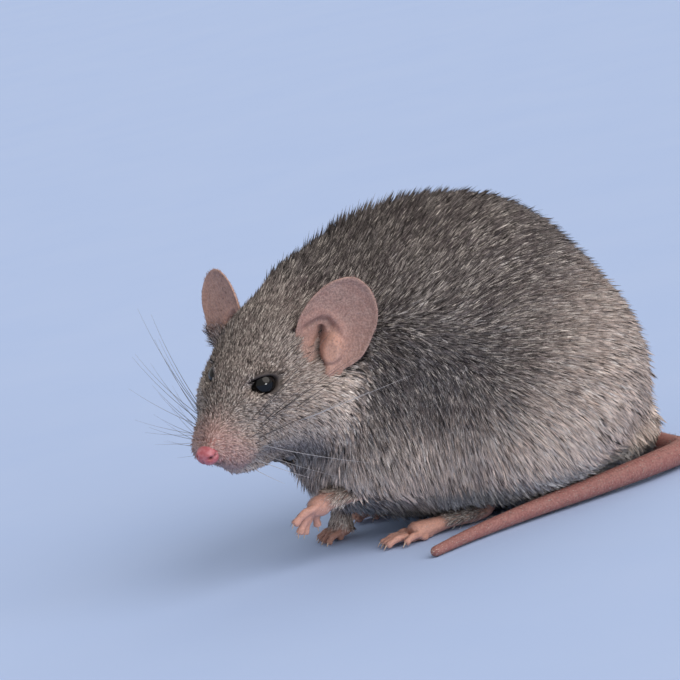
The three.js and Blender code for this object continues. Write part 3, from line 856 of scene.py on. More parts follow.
def carried(points, source, values):
    """Values given at some points, read at the nearest of other points; 0 beyond 0.05 mm."""
    chosen = np.flatnonzero(values > 0.02)
    result = np.zeros(len(points))
    if not len(chosen):
        return result
    tree = KDTree(len(chosen))
    for n, index in enumerate(chosen):
        tree.insert(source[index], n)
    tree.balance()
    for n in np.flatnonzero(within(points, source[chosen], 0.1)):
        _, index, gap = tree.find(points[n])
        if gap < 0.05:
            result[n] = values[chosen[index]]
    return result


def skin_marks(skin, normals):
    """Shares of bare, rosy and dark skin at each vertex as one array, and of thin pale skin; the dark share
    also holds painted shade and the pale share painted light.
    """
    points, part, flesh = skin["points"], skin["part"], skin["flesh"][0]
    rearward, sideways, _ = into_head(points).T
    head = on_head(points)
    roots, mouth, rims = (carried(points, flesh, skin[key]) for key in ("roots", "mouth", "rims"))
    bare = np.maximum((part >= 0) * 1.0, 0.9 * smooth(-15.5, -19.5, rearward) * head)
    bare = np.maximum(bare, 0.85 * np.minimum(1, 1.4 * before_ears(points)))
    bare = bare * (1 - 0.8 * furry_ear(points, normals, part))
    rosy = np.maximum(0.45 * smooth(-17.2, -19.8, rearward) * head, 0.5 * mouth)
    dark = np.maximum(rims * np.where(sideways < 0, 0.9, 0.5), 0.45 * roots)
    pale = np.zeros(len(points))
    for number, which in enumerate(SIDES):
        ear_points, _, marks = skin["ears"][which]
        mark = {key: carried(points, ear_points, value) for key, value in marks.items()}
        on_ear = part == number
        hollow = mark["hollow"]
        # On the ears the lobe's share is its own paler skin; the extra share in the hollow is painted light.
        pale = np.maximum(pale, on_ear * np.maximum(EAR_PALE_AND_LIGHT[which] + 0.42 * hollow, 0.52 * mark["lobe"]))
        # The ear canal and the crease under the fold are darkened as painted shade; the mole is a dark mark
        # of the skin.
        for share in (0.12 * on_ear * (1 - hollow), 0.75 * mark["canal"], 0.60 * mark["mole"]):
            dark = np.maximum(dark, share)
        rosy = np.maximum(rosy, 0.12 * mark["fold"] + 0.10 * hollow)
    on_tail, on_paw = part == TAIL_PART, (part >= FIRST_PAW) & (part < TAIL_PART)
    rosy = np.maximum(rosy, np.where(on_tail, 0.5, 0.35 * on_paw))
    # The tail's skin is darker; the far right forepaw is darkened all over as painted shade.
    dark = np.maximum(dark, np.select([on_tail, part == FIRST_PAW + 1], [0.34, 0.30], 0))
    pale = np.maximum(pale, 0.45 * on_paw)
    return np.clip(np.stack([bare, rosy, dark], axis=1), 0, 1), pale


# ---------------------------------------------------------------- the coat
STRANDS = 2            # in a lock, drawn together at its tip
PATCH = 0.003          # of the square that a lock's colours take on the UV map
BODY_BANDS = 4         # pieces of coat on each side of the body
MOST_TRIANGLES = 200000      # of one piece of coat
KNEE = 0.6             # of a hair's length, where it is widest
HEAD_CROWDING = 1.75   # locks on the head are smaller, and this many times as close
GUARD_SHARE = 0.10     # of the locks, whose long dark hairs stand out of the coat
GUARD_RISE = 0.75      # mm that they stand higher on the body, and less on the head
# A hair is a closed spindle: its root, two sides and underside at the knee, and its tip.
HAIR_FACES = ((0, 2, 1), (1, 2, 3), (0, 1, 3), (0, 3, 2))


class Ground:
    """The smooth flesh that the hairs follow."""

    def __init__(self, points, faces):
        self.points, self.tris = points, triangles_of(faces)
        self.normals = normals_of(points, self.tris)
        self.tree = BVHTree.FromPolygons(points.tolist(), self.tris.tolist())

    def nearest(self, places):
        found = [self.tree.find_nearest(p) for p in places.tolist()]
        spots = np.array([f[0] for f in found])
        return spots, unit(self.normals[self.tris[[f[2] for f in found]]].mean(axis=1))


def drawn(points, tris, density, rng):
    """Triangles drawn at random, density of them to a square millimetre of the mesh."""
    wanted = np.linalg.norm(squares_of(points, tris), axis=1) / 2 * density
    return np.searchsorted(np.cumsum(wanted), rng.random(int(wanted.sum())) * wanted.sum())


def scattered(points, tris, density, rng):
    """Random places on a mesh, density of them to a square millimetre."""
    a, b, c = corners(points, tris[drawn(points, tris, density, rng)])
    u, v = rng.random((2, len(a), 1))
    u, v = np.where(u + v > 1, 1 - u, u), np.where(u + v > 1, 1 - v, v)
    return a * (1 - u - v) + b * u + c * v


def turned(vectors, normals, angles):
    """Vectors turned about the normals they are square to."""
    cos, sin = np.cos(angles)[:, None], np.sin(angles)[:, None]
    return vectors * cos + np.cross(normals, vectors) * sin


def unrolled(places, middle):
    """Places laid on a square by the way they face from the middle, as an octahedron unfolds."""
    way = places - middle
    way = way / np.abs(way).sum(axis=1, keepdims=True)
    u, v, w = way.T
    fold_u = np.where(w < 0, (1 - np.abs(v)) * np.where(u < 0, -1, 1), u)
    fold_v = np.where(w < 0, (1 - np.abs(u)) * np.where(v < 0, -1, 1), v)
    flat = np.stack([fold_u, fold_v], axis=1)
    low, high = flat.min(0), flat.max(0)
    return 0.005 + 0.985 * (flat - low) / (high - low)


def hair_piece(name, locks, middle, material):
    """One mesh of all the strands of some locks."""
    strands = locks["paths"].shape[1]
    total = len(locks["root"]) * strands
    if total * len(HAIR_FACES) >= MOST_TRIANGLES:
        raise RuntimeError(f"{name} has {total * len(HAIR_FACES)} triangles")
    root, knee, tip = locks["paths"].reshape(total, 3, 3).transpose(1, 0, 2)
    side = locks["sides"].reshape(total, 3)
    half = locks["widths"].reshape(total, 1) / 2
    # The knee stands a little above the straight line from root to tip, so every hair is solid.
    line = tip - root
    upward = unit(np.cross(side, line))
    height = dot(knee - root - line * KNEE, upward)
    knee = knee + upward * (np.clip(height, 0.03, 0.09) - height)
    points = np.stack([root, knee - side * half, knee + side * half, tip], axis=1)
    faces = (4 * np.arange(total)[:, None, None] + np.array(HAIR_FACES)).reshape(-1, 3)
    mesh = show(name, above_floor(points.reshape(-1, 3)), faces, material, "coat").data
    normals = np.repeat(locks["normals"].reshape(total, 3), 4, axis=0)
    mesh.normals_split_custom_set_from_vertices(normals.astype(np.float32))
    corner = np.array([(0.5, 0.0), (0.0, KNEE), (1.0, KNEE), (0.5, 1.0)]) - 0.5
    uv = np.repeat(unrolled(locks["root"], middle), strands, axis=0)[:, None] + PATCH * corner
    layer = mesh.uv_layers.new(name="OFBake")
    layer.data.foreach_set("uv", uv.reshape(-1, 2)[faces.ravel()].astype(np.float32).ravel())
    along = np.tile((0, KNEE, KNEE, 1.0), total)
    tone = np.repeat(locks["tone"].reshape(total), 4)
    rosy = np.repeat(locks["rosy"], 4 * strands)
    store(mesh, hair=np.stack([along, tone, rosy], axis=1),
          markings=np.repeat(locks["markings"], 4 * strands, axis=0))


def locks_on(roots, ground, coat, rng):
    """Locks that grow from the roots, lie along the skin and rise to the coat's depth."""
    count = len(roots)
    start, normal = ground.nearest(roots)
    length = hair_length(start) * rng.uniform(0.75, 1.1, count)
    depth = coat_depth(start)
    marks = markings(start, normal)
    stray = rng.normal(0, 0.09, count) * (1 + 1.2 * marks[:, 2])
    way = turned(lie_of_coat(start, normal), normal, stray)
    middle, middle_normal = ground.nearest(start + way * (length * KNEE)[:, None])
    next_way = turned(lie_of_coat(middle, middle_normal), middle_normal, stray + rng.normal(0, 0.03, count))
    end, end_normal = ground.nearest(middle + next_way * (length * (1 - KNEE))[:, None])
    guard = rng.random(count) < GUARD_SHARE
    rise = depth * rng.uniform(0.72, 1.18, count) + GUARD_RISE * guard * mix(1.0, 0.35, on_head(start))
    nape = bell((start[:, 0] + 5) / 9) * smooth(36, 42, start[:, 2])
    rise = rise + 0.8 * guard * nape

    # Each strand has a place across its lock, and its own length and height.
    width = coat.lock_width / MM * np.clip(length / 4, 0.4, 1)
    shape = (count, STRANDS)
    across = (np.arange(STRANDS) / (STRANDS - 1) - 0.5) + rng.normal(0, 0.12, shape)
    reach = rng.uniform(0.78, 1.08, shape)
    lift = rng.uniform(0.8, 1.1, shape) * rise[:, None]
    side = np.cross(way, normal)[:, None]
    low = (start - normal * 0.05)[:, None] + side * (across * width[:, None])[..., None]
    mid = (middle[:, None] + middle_normal[:, None] * (0.68 * lift)[..., None]
           + side * (across * 0.95 * width[:, None])[..., None])
    top = (end[:, None] + end_normal[:, None] * lift[..., None]
           + side * (across * 0.8 * width[:, None])[..., None])
    top = mid + (top - mid) * reach[..., None]
    roll = rng.normal(0, 0.45, shape)[..., None]
    blade_side = unit(side * np.cos(roll) + middle_normal[:, None] * np.sin(roll))
    tilt = 0.25 * rng.normal(0, 1, (count, 1)) + 0.35 * rng.normal(0, 1, shape)
    facing = unit(middle_normal[:, None] + tilt[..., None] * side + 0.15 * way[:, None])
    tone = np.clip(0.22 * rng.random((count, 1)) + 0.88 * rng.random(shape) - 0.05, 0, 1)
    tone = np.where(guard[:, None], tone * 0.5, tone)
    thin = coat.hair_width / MM * np.clip(0.6 + 0.1 * length, 0.6, 1)
    return {
        "root": start, "paths": np.stack([low, mid, top], axis=2),
        "sides": blade_side, "normals": facing, "tone": tone,
        "widths": thin[:, None] * rng.uniform(0.7, 1.15, shape), "markings": marks,
        "rosy": 0.75 * smooth(-15.0, -19.0, into_head(start)[:, 0]) * on_head(start),
    }


LIMB_WAYS = ((-0.8, 0.0, -0.6), (-0.5, 0.0, -0.9), (-1.0, 0.0, -0.2), (-1.0, 0.0, -0.2))


def lie_on_limbs(places, part):
    """Hairs point to the rim on the ears, to the toes on the paws and to the tip on the tail."""
    ways = np.empty_like(places)
    for number, which in enumerate(SIDES):
        on_ear = part == number
        ways[on_ear] = places[on_ear] - ear_axes(which)[1]
    for number, way in enumerate(LIMB_WAYS):
        ways[part == FIRST_PAW + number] = way
    route = tail_path(90)
    on_tail = part == TAIL_PART
    nearest = np.linalg.norm(places[on_tail, None] - route[None], axis=2).argmin(axis=1)
    ways[on_tail] = unit(np.gradient(route, axis=0))[nearest]
    return ways


def furry_ear(places, normals, part):
    """1 low on the backs of the ears and on the whole base of the right one, 0 elsewhere."""
    share = np.zeros(len(places))
    for number, which in enumerate(SIDES):
        axes, root = ear_axes(which)
        behind = smooth(0.2, -0.3, normals @ axes[0])
        behind = np.maximum(behind, 0.9) if which == "right" else behind
        on_base = smooth(6.5, 3.0, (places - root) @ axes[2]) * behind
        share = np.where(part == number, on_base, share)
    return share


def limb_hairs(points, tris, part, rng):
    """The short sparse hairs of ears, paws and tail, thickest at the wrists and ankles."""
    part = part[tris].max(axis=1)
    flat = unit(squares_of(points, tris))
    middle = sum(corners(points, tris)) / 3
    is_paw = (part >= FIRST_PAW) & (part < TAIL_PART)
    at_joint = smooth(4.2, 1.6, near_feet(middle))
    furry = furry_ear(middle, flat, part)
    density = np.select([part < 0, part < FIRST_PAW, is_paw], [0, 9 + 24 * furry, 7 + 34 * at_joint], 5)
    density = density * np.where(is_paw, smooth(-0.5, 0.1, flat[:, 2]), 1)
    chosen = drawn(points, tris, density, rng)
    count = len(chosen)
    normal, part = flat[chosen], part[chosen]
    start = middle[chosen] + rng.normal(0, 0.04, (count, 3))
    way = lie_on_limbs(start, part)
    way = unit(way - normal * dot(way, normal))
    way = turned(way, normal, rng.normal(0, 0.18, count))
    joint = np.maximum(at_joint[chosen] * is_paw[chosen], furry[chosen])
    length = np.select([part < FIRST_PAW, part < TAIL_PART], [0.42 + 1.4 * joint, 0.60 + 1.1 * joint], 0.55)
    length = (length * rng.uniform(0.7, 1.15, count))[:, None]
    start = start - normal * 0.03
    mid = start + way * length * KNEE + normal * length * 0.20
    top = start + way * length + normal * length * 0.26
    side = np.cross(way, normal)
    thin = np.where(joint > 0.3, 0.09, 0.055) * rng.uniform(0.7, 1.2, count)
    return {
        "root": start, "paths": np.stack([start, mid, top], axis=1)[:, None], "sides": side[:, None],
        "normals": unit(normal + 0.3 * rng.normal(0, 1, (count, 1)) * side)[:, None],
        "tone": rng.random((count, 1)), "widths": thin[:, None],
        "markings": markings(start, normal) * (0.55, 0.3, 1) + np.outer(1 - joint, (0.3, 0, 0)),
        "rosy": np.where(part == TAIL_PART, 0.3, 0.75 - 0.7 * joint),
    }


def picked(locks, chosen):
    return {key: value[chosen] for key, value in locks.items()}


# ---------------------------------------------------------------- materials
def node(tree, kind, *inputs, out=0, **named):
    """Adds a node and gives one of its outputs. Its inputs come in order, by name or as n6, and
    a name that the node itself has is a setting. A socket is linked, and a plain value is set."""
    made = tree.nodes.new("ShaderNode" + kind)
    for key, value in (*enumerate(inputs), *named.items()):
        if isinstance(key, str) and hasattr(made, key):
            setattr(made, key, value)
            continue
        if isinstance(key, str):
            key = int(key[1:]) if key[1:].isdigit() else key.replace("_", " ")
        socket = made.inputs[key]
        if isinstance(value, bpy.types.NodeSocket):
            tree.links.new(value, socket)
        else:
            socket.default_value = (*value, 1.0) if socket.type == "RGBA" else value
    return made.outputs[out] if len(made.outputs) else None


def new_material(name):
    """An empty material, in place of an older one of the same name."""
    old = bpy.data.materials.get(name)
    if old is not None:
        bpy.data.materials.remove(old)
    material = bpy.data.materials.new(name)
    material.use_nodes = True
    material.node_tree.nodes.clear()
    return material, material.node_tree


def layered(tree, colour, *layers):
    """A colour with others laid over it in turn, each by its own share."""
    for share, over in layers:
        colour = node(tree, "Mix", share, n6=colour, n7=over, data_type="RGBA", out=2)
    return colour


def stored(tree, name):
    """The three numbers that the mesh holds under a name at each vertex."""
    vector = node(tree, "Attribute", attribute_name=name, out="Vector")
    return node(tree, "SeparateXYZ", vector, out=slice(None))


def patches(tree, size, low=0.3, high=0.7, least=0.0, most=1.0, detail=3.0):
    """Soft patches about size mm across, from least to most where the noise is low to high."""
    place = node(tree, "TexCoord", out="Object")
    noise = node(tree, "TexNoise", place, Scale=1 / (size * MM), Detail=detail, Roughness=0.55)
    return node(tree, "MapRange", noise, low, high, least, most)


def shaded(tree, colour, roughness, ior, **finish):
    """Ends a material in a surface of the given colour and finish."""
    shader = node(tree, "BsdfPrincipled", Base_Color=colour, Roughness=roughness, IOR=ior, **finish)
    node(tree, "OutputMaterial", shader)


def coat_ground(tree, colours):
    """The colour of the coat from its markings, which skin and hair share, uneven every 4 mm."""
    buff, slate, dusk = stored(tree, "markings")
    warm = node(tree, "Math", patches(tree, 4), 0.22, operation="MULTIPLY")
    return layered(tree, colours.back, (buff, colours.buff), (dusk, colours.dusk),
                   (slate, colours.slate), (warm, colours.streak))


# Living skin: thin, soft and matt, with blood showing through, and hardly any gloss but at the
# nose. It looks pink where bare and takes the coat's colour where hair grows through it.
def skin_material(colours):
    material, tree = new_material("thin_living_skin")
    bare, rosy, dark = stored(tree, "skin_marks")
    pale = node(tree, "Attribute", attribute_name="pale", out="Fac")
    # Blood shows through in mottles about 1 mm wide. The down on the skin is some 0.02 mm thick
    # and its pores as wide, so both are drawn ten times as coarse, to show at all.
    mottle = patches(tree, 1.1, 0.35, 0.65)
    velvet = patches(tree, 0.26, 0.40, 0.60, 0.0, 0.42, detail=1.0)
    bare_skin = layered(tree, colours.bare, (mottle, colours.bare_pale), (velvet, colours.rim))
    # The dark share also lays painted shade in the ear canals and on the far forepaw, and the pale share lays
    # painted light on the ears.
    colour = layered(tree, coat_ground(tree, colours), (0.45, linear("#3d3733")), (bare, bare_skin),
                     (rosy, colours.rosy), (pale, colours.pale), (dark, colours.rim))
    pores = patches(tree, 0.22, 0.0, 1.0, detail=2.0)
    bump = node(tree, "Bump", Strength=0.35, Distance=0.05 * MM, Height=pores)
    shaded(tree, colour, 0.62, 1.4, Normal=bump)
    return material


# Hair of an agouti coat: each hair is slate at the root, then brown or buff, and some end in a
# near-black tip. Hair is matt from afar, with a faint sheen along it.
def hair_material(colours):
    material, tree = new_material("agouti_hair")
    along, tone, rosy = stored(tree, "hair")
    buff, slate, _ = stored(tree, "markings")
    # The bands of neighbouring hairs start a few tenths of a millimetre apart.
    uneven = patches(tree, 0.28, 0.3, 0.7, -0.14, 0.14, detail=1.0)
    along = node(tree, "Math", along, uneven, operation="ADD")
    plain = node(tree, "MapRange", buff, 0.0, 0.8, 0.72, 1.0)
    light = node(tree, "MapRange", tone, 0.48, 0.95)
    light = node(tree, "Math", light, plain, operation="MULTIPLY")
    soft = node(tree, "Math", slate, -0.8, 1.0, operation="MULTIPLY_ADD")
    dark = node(tree, "MapRange", tone, 0.36, 0.02)
    dark = node(tree, "Math", dark, soft, operation="MULTIPLY")
    # The hair ends in a dark tip, fainter on the pale flanks and the muzzle.
    pale = node(tree, "Math", buff, rosy, operation="MAXIMUM")
    faint = node(tree, "Math", pale, -0.85, 1.0, operation="MULTIPLY_ADD")
    ending = node(tree, "MapRange", along, 0.78, 0.97, 0.0, 0.8)
    ending = node(tree, "Math", ending, faint, operation="MULTIPLY")
    pale = node(tree, "Math", pale, slate, operation="MAXIMUM")
    keep = node(tree, "MapRange", pale, 0.0, 1.0, 1.0, 0.15)
    root = node(tree, "MapRange", along, 0.74, 0.52, 0.0, 0.94)
    root = node(tree, "Math", root, keep, operation="MULTIPLY")
    colour = layered(tree, coat_ground(tree, colours), (light, colours.streak), (dark, colours.tip),
                     (rosy, colours.muzzle), (ending, colours.tip), (root, colours.root))
    shaded(tree, colour, 0.55, 1.45, Specular_IOR_Level=0.25)
    return material


# A mouse's eye is a wet black bead, so it shows little but what it mirrors.
def eye_material():
    material, tree = new_material("wet_black_eye")
    iris = patches(tree, 0.4, 0.4, 0.6)
    shaded(tree, layered(tree, linear("#030304"), (iris, linear("#080606"))), 0.04, 1.42)
    return material


# The nose pad is bare moist skin, red with the blood under it. Its pebbled grain is about 0.1 mm
# wide, and is drawn twice as coarse so that it shows.
def nose_material(colours):
    material, tree = new_material("moist_nose_skin")
    place = node(tree, "TexCoord", out="Object")
    pebbles = node(tree, "TexVoronoi", place, Scale=1 / (0.22 * MM))
    nostril = node(tree, "Attribute", attribute_name="nostril", out="Fac")
    mottle = patches(tree, 0.6, 0.35, 0.65)
    # The nostrils, their slits and the middle groove are darkened as painted shade.
    colour = layered(tree, colours.nose, (mottle, colours.nose_pale), (nostril, linear("#4a1c1d")))
    bump = node(tree, "Bump", Strength=0.4, Distance=0.04 * MM, Height=pebbles)
    shaded(tree, colour, 0.34, 1.4, Normal=bump)
    return material


# Claws are clear pale horn, glossy and a little yellow.
def claw_material():
    material, tree = new_material("pale_horn")
    grain = patches(tree, 0.3)
    shaded(tree, layered(tree, linear("#b79a88"), (grain, linear("#cfb8a6"))), 0.3, 1.54)
    return material


# Whiskers are stiff glossy hairs, dark at the root and paler to the tip.
def whisker_material():
    material, tree = new_material("whisker_hair")
    along, shade = (node(tree, "Attribute", attribute_name=name, out="Fac") for name in ("along", "shade"))
    colour = layered(tree, linear("#1d1a1a"), (along, linear("#5d5654")), (shade, linear("#a9a7ab")))
    shaded(tree, colour, 0.35, 1.5)
    return material


# ---------------------------------------------------------------- settings
def colour_setting(name, what, value):
    return FloatVectorProperty(name=name, description=what, subtype="COLOR", size=3,
                               min=0, max=1, default=linear(value))


class MouseColours(bpy.types.PropertyGroup):
    back: colour_setting("Back", "Grey-brown of the back and head", "#62575a")
    # Buff is the pale coat, and also painted light on the rump, lower flank and chin.
    buff: colour_setting("Buff", "Pale flanks, rump and cheeks", "#ffe6d6")
    # Dusk is the darker back, and painted shade behind the shoulder and at the nape.
    dusk: colour_setting("Dusk", "Dark hair behind the shoulder", "#51474a")
    slate: colour_setting("Slate", "Grey underside", "#b6b6b8")
    streak: colour_setting("Streak", "Palest hairs of the coat", "#f8efe6")
    root: colour_setting("Root", "Roots of the hairs", "#302b2a")
    tip: colour_setting("Tip", "Darkest hairs of the coat", "#1f1b1b")
    muzzle: colour_setting("Muzzle", "Hairs on the whisker pads", "#d3aaa4")
    bare: colour_setting("Bare skin", "Ears, paws and tail", "#b58f84")
    bare_pale: colour_setting("Pale bare skin", "Paler mottles of the bare skin", "#c2a195")
    rosy: colour_setting("Rosy skin", "Skin with most blood in it", "#b0605f")
    # Pale skin is the thin skin of the toes and the ear's lobe, and also painted light in the ear's hollow
    # and on the far ear.
    pale: colour_setting("Pale skin", "Thin skin of toes and of the hollow of the ear", "#e2b09a")
    # Rim is the dark skin of the eyelids, also used for painted shade in the ear canals and on the far
    # forepaw.
    rim: colour_setting("Rim", "Eyelids and ear canal", "#221b1b")
    nose: colour_setting("Nose", "Nose pad", "#a5565c")
    nose_pale: colour_setting("Pale nose", "Paler mottles of the nose pad", "#bd7880")


class MouseCoat(bpy.types.PropertyGroup):
    density: FloatProperty(name="Locks", description="Locks of body hair on a square millimetre",
                           default=24.0, min=0.5, max=60)
    lock_width: FloatProperty(name="Lock width", description="Width of a lock at its root",
                              default=0.00019, min=0.0001, max=0.002, unit="LENGTH")
    hair_width: FloatProperty(name="Hair width", description="Width of one strand of a lock",
                              default=0.000105, min=0.00003, max=0.0004, unit="LENGTH")
    whisker_length: FloatProperty(name="Whisker length", description="Length of the longest whisker",
                                  default=0.019, min=0.002, max=0.03, unit="LENGTH")


class MouseStage(bpy.types.PropertyGroup):
    azimuth: FloatProperty(name="Azimuth", description="Turn of the camera round the mouse",
                           default=math.radians(-15), subtype="ANGLE", unit="ROTATION")
    elevation: FloatProperty(name="Elevation", description="Height angle of the camera",
                             default=math.radians(10), subtype="ANGLE", unit="ROTATION")
    roll: FloatProperty(name="Roll", description="Tilt of the camera about its line of sight",
                        default=math.radians(12), subtype="ANGLE", unit="ROTATION")
    distance: FloatProperty(name="Distance", description="From the camera to the middle of the view",
                            default=0.5321, min=0.1, max=5, unit="LENGTH")
    floor: colour_setting("Floor", "Plain pale floor", "#b1c6ec")


# ---------------------------------------------------------------- operators
COAT_SEED, WHISKER_SEED = 5, 11
FEWEST_POINTS = 10000      # of a skin whose parts have joined
FLOOR_REACH = 6.0          # metres from the middle of the floor to each side
AIM = (-7.94, 7.90, 4.51)  # from the middle of the mouse to the middle of the view
# Wide suns light the floor evenly; the small low one only puts a glint in the eye.
LAMPS = (
    ("key", (0.28, -0.40, 0.42), 1.7, 60, "#fff6ef"),
    ("rim", (0.40, 0.40, 0.30), 0.6, 60, "#fff2e0"),
    ("glint", (0.27, -0.965, 0.02), 1.25, 18, "#ffffff"),
)
skin_store = {}            # what the skin operator hands to the coat operator


class MOUSE_OT_skin(bpy.types.Operator):
    """Builds the one skin of body, ears, paws and tail"""
    bl_idname = "mouse.skin"
    bl_label = "Skin"

    def execute(self, context):
        made = whole_skin()
        skin_store.update(made)
        points = made["points"]
        if len(points) < FEWEST_POINTS:
            raise RuntimeError("the parts of the skin did not join")
        normals = normals_of(points, made["tris"])
        marks, pale = skin_marks(made, normals)
        piece = show("skin", points, made["faces"], skin_material(context.scene.mouse_colours), "skin",
                     *FLESH, "ear_left", "ear_right", *PAWS, *TAIL_NODES)
        store(piece.data, skin_marks=marks, pale=pale, markings=markings(points, normals))
        return {"FINISHED"}


class MOUSE_OT_coat(bpy.types.Operator):
    """Builds the coat: two pieces on the head, bands along each side of the body, and the limbs"""
    bl_idname = "mouse.coat"
    bl_label = "Coat"

    def execute(self, context):
        coat = context.scene.mouse_coat
        material = hair_material(context.scene.mouse_colours)
        rng = np.random.default_rng(COAT_SEED)
        points, tris, part = (skin_store[key] for key in ("points", "tris", "part"))
        furred = tris[np.all(part[tris] < 0, axis=1)]
        places = points[furred].mean(axis=1)
        density = coat.density * mix(1.0, HEAD_CROWDING, on_head(places)) * haired(places)
        roots = scattered(points, furred, density, rng)
        locks = locks_on(roots, Ground(*skin_store["flesh"]), coat, rng)
        start = locks["root"]
        of_head = on_head(start) > 0.5
        on_left = np.where(of_head, into_head(start)[:, 1] < 0, start[:, 1] < BODY_MIDDLE)
        for side, chosen in (("left", on_left), ("right", ~on_left)):
            hair_piece(f"coat_head_{side}", picked(locks, chosen & of_head), HEAD_ORIGIN, material)
            picks = np.flatnonzero(chosen & ~of_head)
            picks = picks[np.argsort(start[picks, 0], kind="stable")]
            for n, band in enumerate(np.array_split(picks, BODY_BANDS)):
                middle = (start[band].mean(axis=0)[0], BODY_MIDDLE, BODY_HEIGHT)
                hair_piece(f"coat_{side}_{n + 1}", picked(locks, band), middle, material)
        limbs = limb_hairs(points, tris, part, rng)
        hair_piece("coat_limbs", limbs, limbs["root"].mean(axis=0), material)
        return {"FINISHED"}


class MOUSE_OT_eyes(bpy.types.Operator):
    """Builds the two eyes, each a ball with the swell of its cornea"""
    bl_idname = "mouse.eyes"
    bl_label = "Eyes"

    def execute(self, context):
        material = eye_material()
        for which in SIDES:
            look, ear_way, high = eye_axes(which)
            axes = np.array([ear_way, high, look])
            points, faces = blob((0, 0, 0), (EYE_RADIUS - 0.05,) * 3, rings=32, sides=48)
            swell = 1 + 0.035 * smooth(0.55, 0.95, unit(points)[:, 2])
            points = points * swell[:, None] @ axes + eye_seat(which)
            show(f"eye_{which}_ball", points, faces, material, "eye", f"eye_{which}")
        return {"FINISHED"}


class MOUSE_OT_nose(bpy.types.Operator):
    """Builds the nose pad with its nostrils and middle groove"""
    bl_idname = "mouse.nose"
    bl_label = "Nose"

    def execute(self, context):
        points, faces = blob((0, 0, 0), (1, 1, 1), rings=56, sides=80)
        local = points * NOSE_RADII
        mirrored = on_right(local)
        x, side, z = mirrored.T
        nostril = bump_at(mirrored, (-0.72, 1.05, 0.40), (0.36, 0.3, 0.26))
        slit = on_line(mirrored, ((-0.7, 1.1, 0.38), (-0.3, 1.4, 0.46), (0.2, 1.5, 0.6)), 0.15)
        groove = bell(side / 0.13) * smooth(0.45, -0.3, z) * smooth(0.3, -0.3, x)
        wing = bump_at(mirrored, (-0.85, 0.85, 0.75), (0.4, 0.5, 0.25))
        depth = 0.62 * nostril + 0.30 * slit + 0.24 * groove - 0.16 * wing
        points = (local - unit(points) * depth[:, None]) @ HEAD_AXES + NOSE
        piece = show("nose_pad", points, faces, nose_material(context.scene.mouse_colours), "nose", "nose")
        # This share of nostrils, slits and groove is where the material paints shade.
        store(piece.data, nostril=np.clip(1.1 * nostril + 0.8 * slit + 0.4 * groove, 0, 1))
        return {"FINISHED"}


class MOUSE_OT_claws(bpy.types.Operator):
    """Builds the claws, a small curved horn on each toe"""
    bl_idname = "mouse.claws"
    bl_label = "Claws"

    def execute(self, context):
        parts = []
        t = np.linspace(0, 1, 8)[:, None]
        for name in PAWS:
            size = 0.62 if name.startswith("fore") else 0.80
            for place, way in paw(name)[1]:
                path = place + way * (t * 1.2 - 0.35) * size + (0, 0, 0.22) - np.array((0, 0, 0.36)) * t ** 2
                path[:, 2] = np.maximum(path[:, 2], 0.12)
                parts.append(tube(path, 0.15 * (1 - 0.8 * t[:, 0] ** 1.5), 8))
        points, faces = joined(parts)
        show("claws", above_floor(points), faces, claw_material(), "skin")
        return {"FINISHED"}


class MOUSE_OT_whiskers(bpy.types.Operator):
    """Builds the whiskers, long at the back of the pads and short at the front"""
    bl_idname = "mouse.whiskers"
    bl_label = "Whiskers"

    def execute(self, context):
        rng = np.random.default_rng(WHISKER_SEED)
        longest = context.scene.mouse_coat.whisker_length / MM
        parts, along, shade = [], [], []
        t = np.linspace(0, 1, 12)[:, None]
        share = np.concatenate([np.repeat(t[:, 0], WHISKER_SIDES), [0, 1]])
        for side in SIDES.values():
            for root in whisker_roots():
                back, row = (root[0] + 17.9) / 4.3, (-root[2] - 0.9) / 3.4
                length = longest * (0.32 + 0.68 * back) * rng.uniform(0.8, 1.05)
                if side < 0 and row < 0.9:
                    way = (0.75 - 0.2 * row, 0.58 + 0.1 * row, 0.57 - 0.85 * row)
                else:
                    way = (0.16 + 0.30 * back - 0.38 * row, 0.76 + 0.2 * row, 0.66 - 0.92 * row)
                way = unit(np.array(way) + rng.normal(0, 0.07, 3))
                bend = np.array((0.18, 0, -0.08)) * length
                path = (root - (0, 0.4, 0) + way * t * length + bend * t ** 2) * (1, side, 1)
                thick = (0.034 if side > 0 else 0.062) + 0.014 * back
                parts.append(tube(out_of_head(path), thick * (1 - 0.8 * t[:, 0]), WHISKER_SIDES))
                along.append(share)
                shade.append(np.full(len(share), smooth(0.5, 0.95, row + rng.normal(0, 0.15))))
        points, faces = joined(parts)
        piece = show("whiskers", above_floor(points), faces, whisker_material(), "coat")
        store(piece.data, along=np.concatenate(along), shade=np.concatenate(shade))
        return {"FINISHED"}


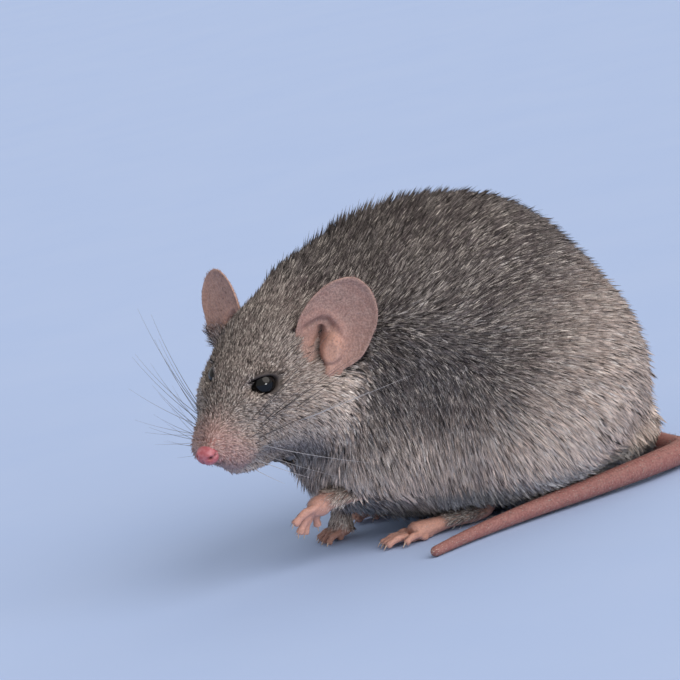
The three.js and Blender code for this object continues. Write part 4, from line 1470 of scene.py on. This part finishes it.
class MOUSE_OT_stage(bpy.types.Operator):
    """Lays the plain floor and sets the soft lamps, the world and the camera"""
    bl_idname = "mouse.stage"
    bl_label = "Stage"

    def execute(self, context):
        scene, stage = context.scene, context.scene.mouse_stage
        middle = (np.array(cad_low) + np.array(cad_high)) / 2
        material, tree = new_material("plain_pale_floor")
        speck = patches(tree, 30, 0.3, 0.7, 0.0, 0.03)
        colour = layered(tree, stage.floor, (speck, linear("#ffffff")))
        node(tree, "OutputMaterial", node(tree, "BsdfDiffuse", Color=colour))
        square = np.array([(-1, -1, 0), (1, -1, 0), (1, 1, 0), (-1, 1, 0)]) * FLOOR_REACH
        floor = placed("floor", new_mesh("floor", square, [(0, 1, 2, 3)]))
        floor.data.materials.append(material)

        scene.world = bpy.data.worlds.new("soft_sky")
        scene.world.use_nodes = True
        tree = scene.world.node_tree
        tree.nodes.clear()
        seen = node(tree, "LightPath", out="Is Camera Ray")
        light = node(tree, "Background", Color=linear("#f3f2f2"), Strength=0.60)
        picture = node(tree, "Background", Color=stage.floor, Strength=1.0)
        node(tree, "OutputWorld", node(tree, "MixShader", seen, light, picture))

        for name, place, strength, spread, tint in LAMPS:
            lamp = bpy.data.lights.new(name, "SUN")
            lamp.energy, lamp.angle, lamp.color = strength, math.radians(spread), linear(tint)
            placed(name, lamp).matrix_world = looking(middle + place, np.array(place), 0.0)

        camera = placed("camera", bpy.data.cameras.new("camera"))
        camera.data.lens, camera.data.sensor_width, camera.data.clip_start = 200, 36, 0.02
        a, e = stage.azimuth, stage.elevation
        back = np.array((math.sin(a) * math.cos(e), -math.cos(a) * math.cos(e), math.sin(e)))
        aim = middle + np.array(AIM) * MM
        camera.matrix_world = looking(aim + back * stage.distance, back, stage.roll)
        scene.camera = camera
        scene.view_settings.view_transform = "Standard"
        return {"FINISHED"}


def looking(place, back, roll):
    """A matrix at a place, with -Z against back and +Y up, rolled about that line."""
    back = unit(back)
    right = unit(np.cross((0, 0, 1), back))
    up = np.cross(back, right)
    c, s = math.cos(roll), math.sin(roll)
    right, up = c * right - s * up, s * right + c * up
    rows = [[right[k], up[k], back[k], place[k]] for k in range(3)]
    return Matrix([*rows, [0, 0, 0, 1]])


# ---------------------------------------------------------------- panel and registration
OPERATORS = (MOUSE_OT_skin, MOUSE_OT_coat, MOUSE_OT_eyes, MOUSE_OT_nose, MOUSE_OT_claws, MOUSE_OT_whiskers,
             MOUSE_OT_stage)
SETTINGS = {"mouse_colours": MouseColours, "mouse_coat": MouseCoat, "mouse_stage": MouseStage}


class MOUSE_PT_panel(bpy.types.Panel):
    """Lists the pieces of the mouse and their settings"""
    bl_idname = "MOUSE_PT_panel"
    bl_label = "House mouse"
    bl_space_type = "VIEW_3D"
    bl_region_type = "UI"
    bl_category = "Mouse"

    def draw(self, context):
        for operator in OPERATORS:
            self.layout.operator(operator.bl_idname)
        for key, group in SETTINGS.items():
            box_of_settings = self.layout.box()
            for name in group.__annotations__:
                box_of_settings.prop(getattr(context.scene, key), name)


def register():
    for made in (*SETTINGS.values(), *OPERATORS, MOUSE_PT_panel):
        bpy.utils.register_class(made)
    for key, group in SETTINGS.items():
        setattr(bpy.types.Scene, key, PointerProperty(type=group))


def unregister():
    for key in SETTINGS:
        delattr(bpy.types.Scene, key)
    for made in reversed((*SETTINGS.values(), *OPERATORS, MOUSE_PT_panel)):
        bpy.utils.unregister_class(made)


def main():
    register()
    for operator in OPERATORS:
        group, name = operator.bl_idname.split(".")
        getattr(getattr(bpy.ops, group), name)()


if __name__ == "__main__":
    main()
